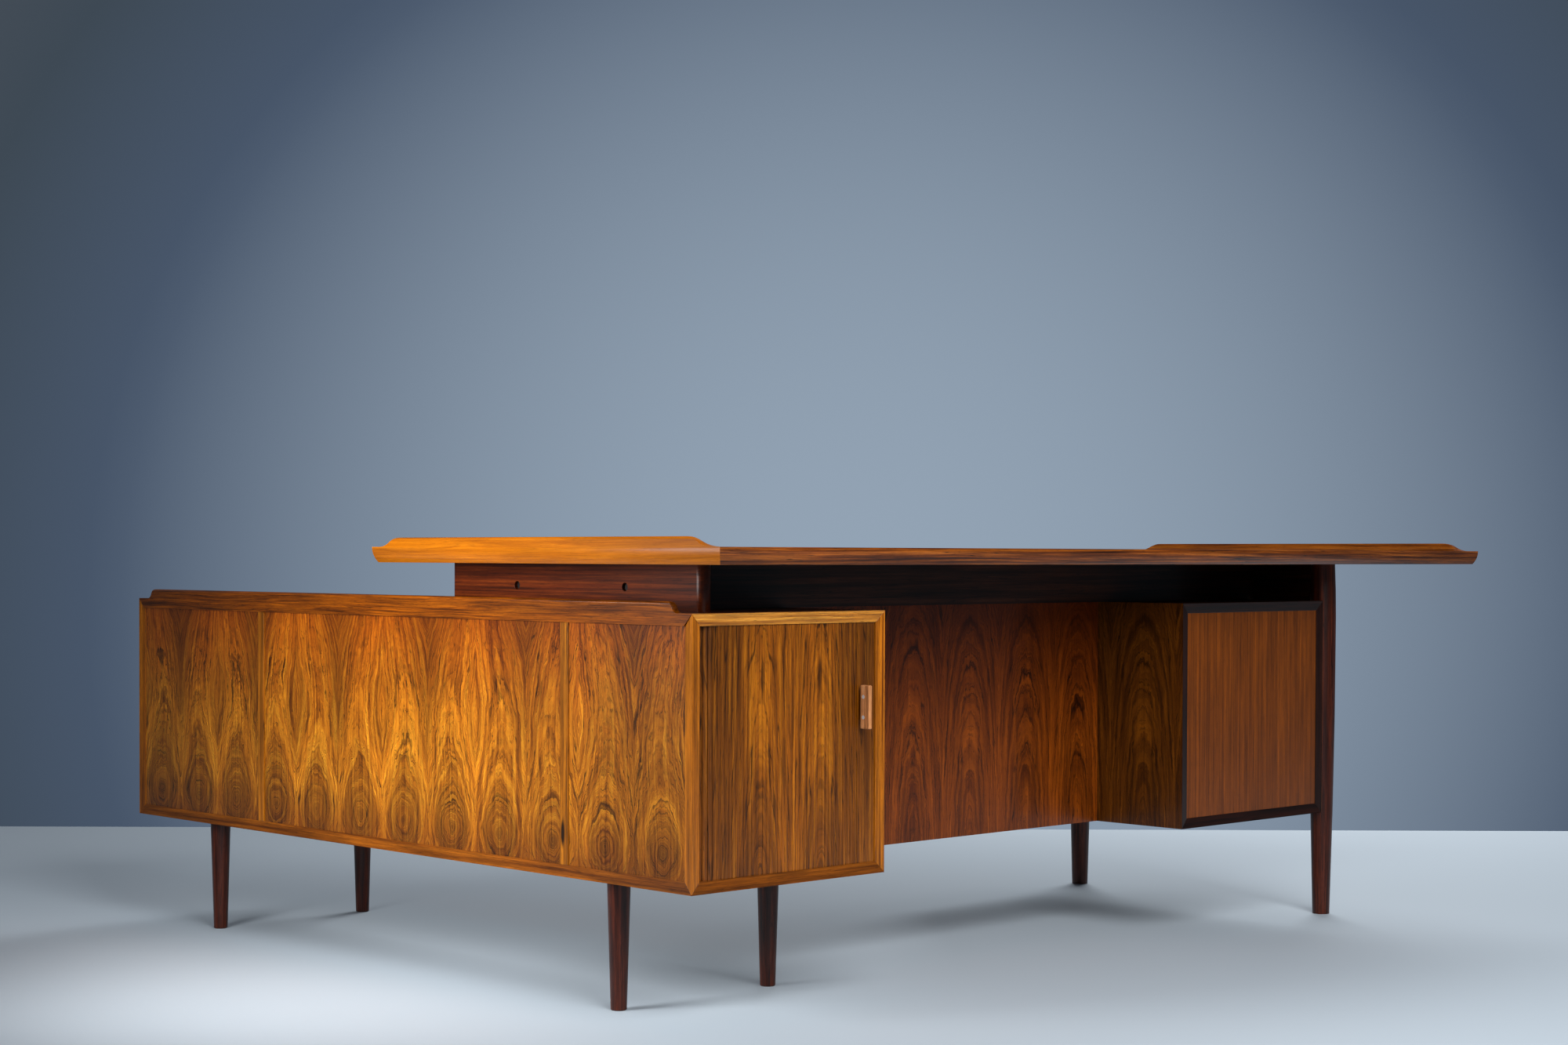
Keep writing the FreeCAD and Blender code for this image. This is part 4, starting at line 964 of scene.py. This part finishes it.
def rounded_plan(low, high, radius):
    """Plan of an upright board: each corner is a quarter circle, and the sides join them."""
    turn = np.radians((90, 0, -90, -180))[:, None] - np.linspace(0, math.pi / 2, 5)
    right, left = high.x - radius, low.x + radius
    back, front = high.y - radius, low.y + radius
    x = np.array((right, right, left, left))[:, None] + radius * np.cos(turn)
    y = np.array((back, front, front, back))[:, None] + radius * np.sin(turn)
    return x.reshape(1, -1), y.reshape(1, -1)


rail_low, rail_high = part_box("leg_cross_rail")
leg_rail = prisms("leg_rail", *rounded_plan(rail_low, rail_high, RAIL_ROUND),
                  rail_low.z - RAIL_DEEPER, rail_high.z)
leg_rail.data.materials.append(nodes["return_bottom"].data.materials[0])
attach(leg_rail, "desk_frame")
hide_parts("leg_cross_rail")

# %% [markdown]
# ## Eased edges
# No edge of lacquered wood is sharp: it is sanded round to about half a millimetre, and this
# small round catches a thin line of light. The solids could be drawn with rounds, but two
# modifiers add them to any piece: a weld joins the CAD triangles, and a bevel cuts every edge
# sharper than 40 degrees.

# %% Eased edges
EASED = 0.7 * MM
WELD_REACH = 0.002 * MM
SHARP = math.radians(40)
solids = ("return_corner_posts", "return_top_rails", "return_bottom_rails", "return_lip_band",
          "return_divider_strips", "desk_left_lip", "desk_right_lip", "desk_visitor_edge",
          "desk_user_edge", "riser_board", "pedestal_visitor_frame", "pedestal_user_frame")
for name in solids:
    weld = nodes[name].modifiers.new("weld", "WELD")
    weld.merge_threshold = WELD_REACH
    ease = nodes[name].modifiers.new("ease", "BEVEL")
    ease.width = EASED
    ease.segments = 2
    ease.limit_method = "ANGLE"
    ease.angle_limit = SHARP
    ease.harden_normals = True
print(len(solids), "pieces have eased edges")

# %% [markdown]
# ## Camera
# The photograph was taken from the visitor's side, a little below the desk top, with a long
# lens. The camera could be placed by eye, but one degree moves every edge, so it stands where a
# fit of the desk's corners to the picture puts it. The lens didn't look at the middle of the
# picture, and a small shift gives that back. The Standard view keeps the materials' tones.

# %% Camera
PHOTO_WIDTH, PHOTO_HEIGHT = 2000, 1333
FULL_FRAME = 36    # mm, the width of the sensor
FOCAL_PIXELS = 3175.7
PRINCIPAL = (1017.2, 770.2)    # the pixel that the lens looks straight at
CAMERA_PLACE = (-3.5673, -3.5855, 0.7234)    # metres
HEADING, PITCH, ROLL = math.radians(45) + 0.0141, -0.0197, -0.0030    # radians

camera_data = bpy.data.cameras.new("camera")
camera_data.sensor_width = FULL_FRAME
camera_data.lens = FOCAL_PIXELS * FULL_FRAME / PHOTO_WIDTH
camera_data.shift_x = (PHOTO_WIDTH / 2 - PRINCIPAL[0]) / PHOTO_WIDTH
camera_data.shift_y = (PRINCIPAL[1] - PHOTO_HEIGHT / 2) / PHOTO_WIDTH
camera = new_object("camera", camera_data)
camera.location = CAMERA_PLACE
camera.rotation_euler = (math.pi / 2 + PITCH, 0, HEADING - math.pi / 2)
camera.rotation_euler.rotate_axis("Z", -ROLL)
bpy.context.scene.camera = camera
bpy.context.scene.view_settings.view_transform = "Standard"
print("the lens is", round(camera_data.lens, 1), "mm long, on a sensor of full frame")

# %% [markdown]
# ## Light
# A small soft box close to the outer side of the return makes the bright pool on its veneer. A
# large one over the visitor's end lights the tambour, and a third from behind the desk lights
# the floor and the tops. A sun would throw hard shadows, and soft boxes throw a studio's soft
# ones. The third is kept out of reflections, as the real room had a wall there.

# %% Light
# Each soft box: place, target and side in metres, power in watts, and spread in degrees.
SOFT_BOXES = {
    "key_light": ((-2.1, -0.16, 0.82), (-1.07, -0.16, 0.42), 0.6, 6.9, 95),
    "front_light": ((-1.5, -3.3, 2.5), (-0.7, -1.0, 0.2), 2.2, 60, 120),
    "back_light": ((3.2, 1.4, 3.0), (1.2, -0.9, 0.0), 2.5, 105, 150),
}


def soft_light(name, place, target, size, power, spread):
    """Square soft box at a place, turned to a target, that throws light over spread degrees.

    Seen from above it heads for the target, and the tangent of its tilt from straight down is
    the level distance over the drop.
    """
    lamp = bpy.data.lights.new(name, "AREA")
    lamp.size = size
    lamp.energy = power
    lamp.spread = math.radians(spread)
    holder = new_object(name, lamp)
    holder.location = place
    towards = np.subtract(target, place)
    flat = math.hypot(towards[0], towards[1])
    heading = math.atan2(towards[1], towards[0])
    holder.rotation_euler = (math.atan2(flat, -towards[2]), 0, heading - math.pi / 2)
    holder.visible_camera = False
    return holder


soft_lights = {name: soft_light(name, *numbers) for name, numbers in SOFT_BOXES.items()}
soft_lights["back_light"].visible_glossy = False
watts = sum(numbers[3] for numbers in SOFT_BOXES.values())
print(len(soft_lights), "soft boxes throw", round(watts, 1), "watts")

# %% [markdown]
# ## Backdrop
# The backdrop is a studio wall, lit in its middle and slate blue round that. A wall of its own
# would need lamps of its own, so the world does it: its colour goes by the angle from one
# direction, a little to the right of where the camera looks, as in the photograph.

# %% Backdrop
BACKDROP_TURN = -0.03    # radians, from the camera's heading to the middle of the bright part
BACKDROP_DROP = -0.02    # its height on the view's unit sphere, just under the horizon
# The place of each tone is the cosine of its angle from that direction: 0.90 is 26 degrees.
BACKDROP = ((0.90, "#4A5058"), (1.0, "#93A3B4"), (0.93, "#3E4954"), (0.955, "#48566A"))
world = bpy.data.worlds.new("studio")
bpy.context.scene.world = world
world.use_nodes = True
wall = world.node_tree
direction = add(wall, "TexCoord").outputs["Generated"]
middle = (math.cos(HEADING + BACKDROP_TURN), math.sin(HEADING + BACKDROP_TURN), BACKDROP_DROP)
nearness = vectors(wall, "DOT_PRODUCT", direction, middle).outputs["Value"]
backdrop = add(wall, "ValToRGB", (nearness,), stops=BACKDROP)
wall.links.new(backdrop.outputs["Color"], wall.nodes["Background"].inputs["Color"])
print("the backdrop blends", len(BACKDROP), "tones")

# %% [markdown]
# ## Floor
# The floor is painted concrete, rolled on and worn matt, so it is pale and gives only soft,
# broad reflections. It could be endless, but the foot of the wall shows in the photograph, so
# it is one large face that ends there.

# %% Floor
FLOOR_AHEAD = 6.56    # metres from the camera to the foot of the wall
FLOOR_HALF = 12.0
PAINT = {"Base Color": colour("#C8D4DE"), "Roughness": 0.62}
ahead = np.array((math.cos(HEADING), math.sin(HEADING), 0.0))
beside = np.array((math.sin(HEADING), -math.cos(HEADING), 0.0))
under_camera = np.array((*CAMERA_PLACE[:2], 0.0))
corners = ((-FLOOR_HALF, -FLOOR_HALF), (-FLOOR_HALF, FLOOR_HALF),
           (FLOOR_AHEAD, FLOOR_HALF), (FLOOR_AHEAD, -FLOOR_HALF))
floor_data = bpy.data.meshes.new("floor")
floor_data.from_pydata([under_camera + ahead * far + beside * side for far, side in corners],
                       [], [(0, 1, 2, 3)])
floor = new_object("floor", floor_data)
paint, _, paint_shader = new_material("painted_floor")
tune(paint_shader, PAINT)
floor_data.materials.append(paint)
floor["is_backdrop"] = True
print("the floor ends", FLOOR_AHEAD, "m ahead of the camera")

# %% [markdown]
# ## Measure and finish
# The visual model is meant to keep the size of the CAD model, so both boxes are measured, and the
# last line prints how far they differ.

# %% Measure and finish
visual_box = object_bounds()
growth = max(abs(made - given) for drawn, solid in zip(visual_box, cad_box)
             for made, given in zip(drawn, solid))
print("the drawn box and the CAD box differ by", round(growth / MM, 2), "mm at most")
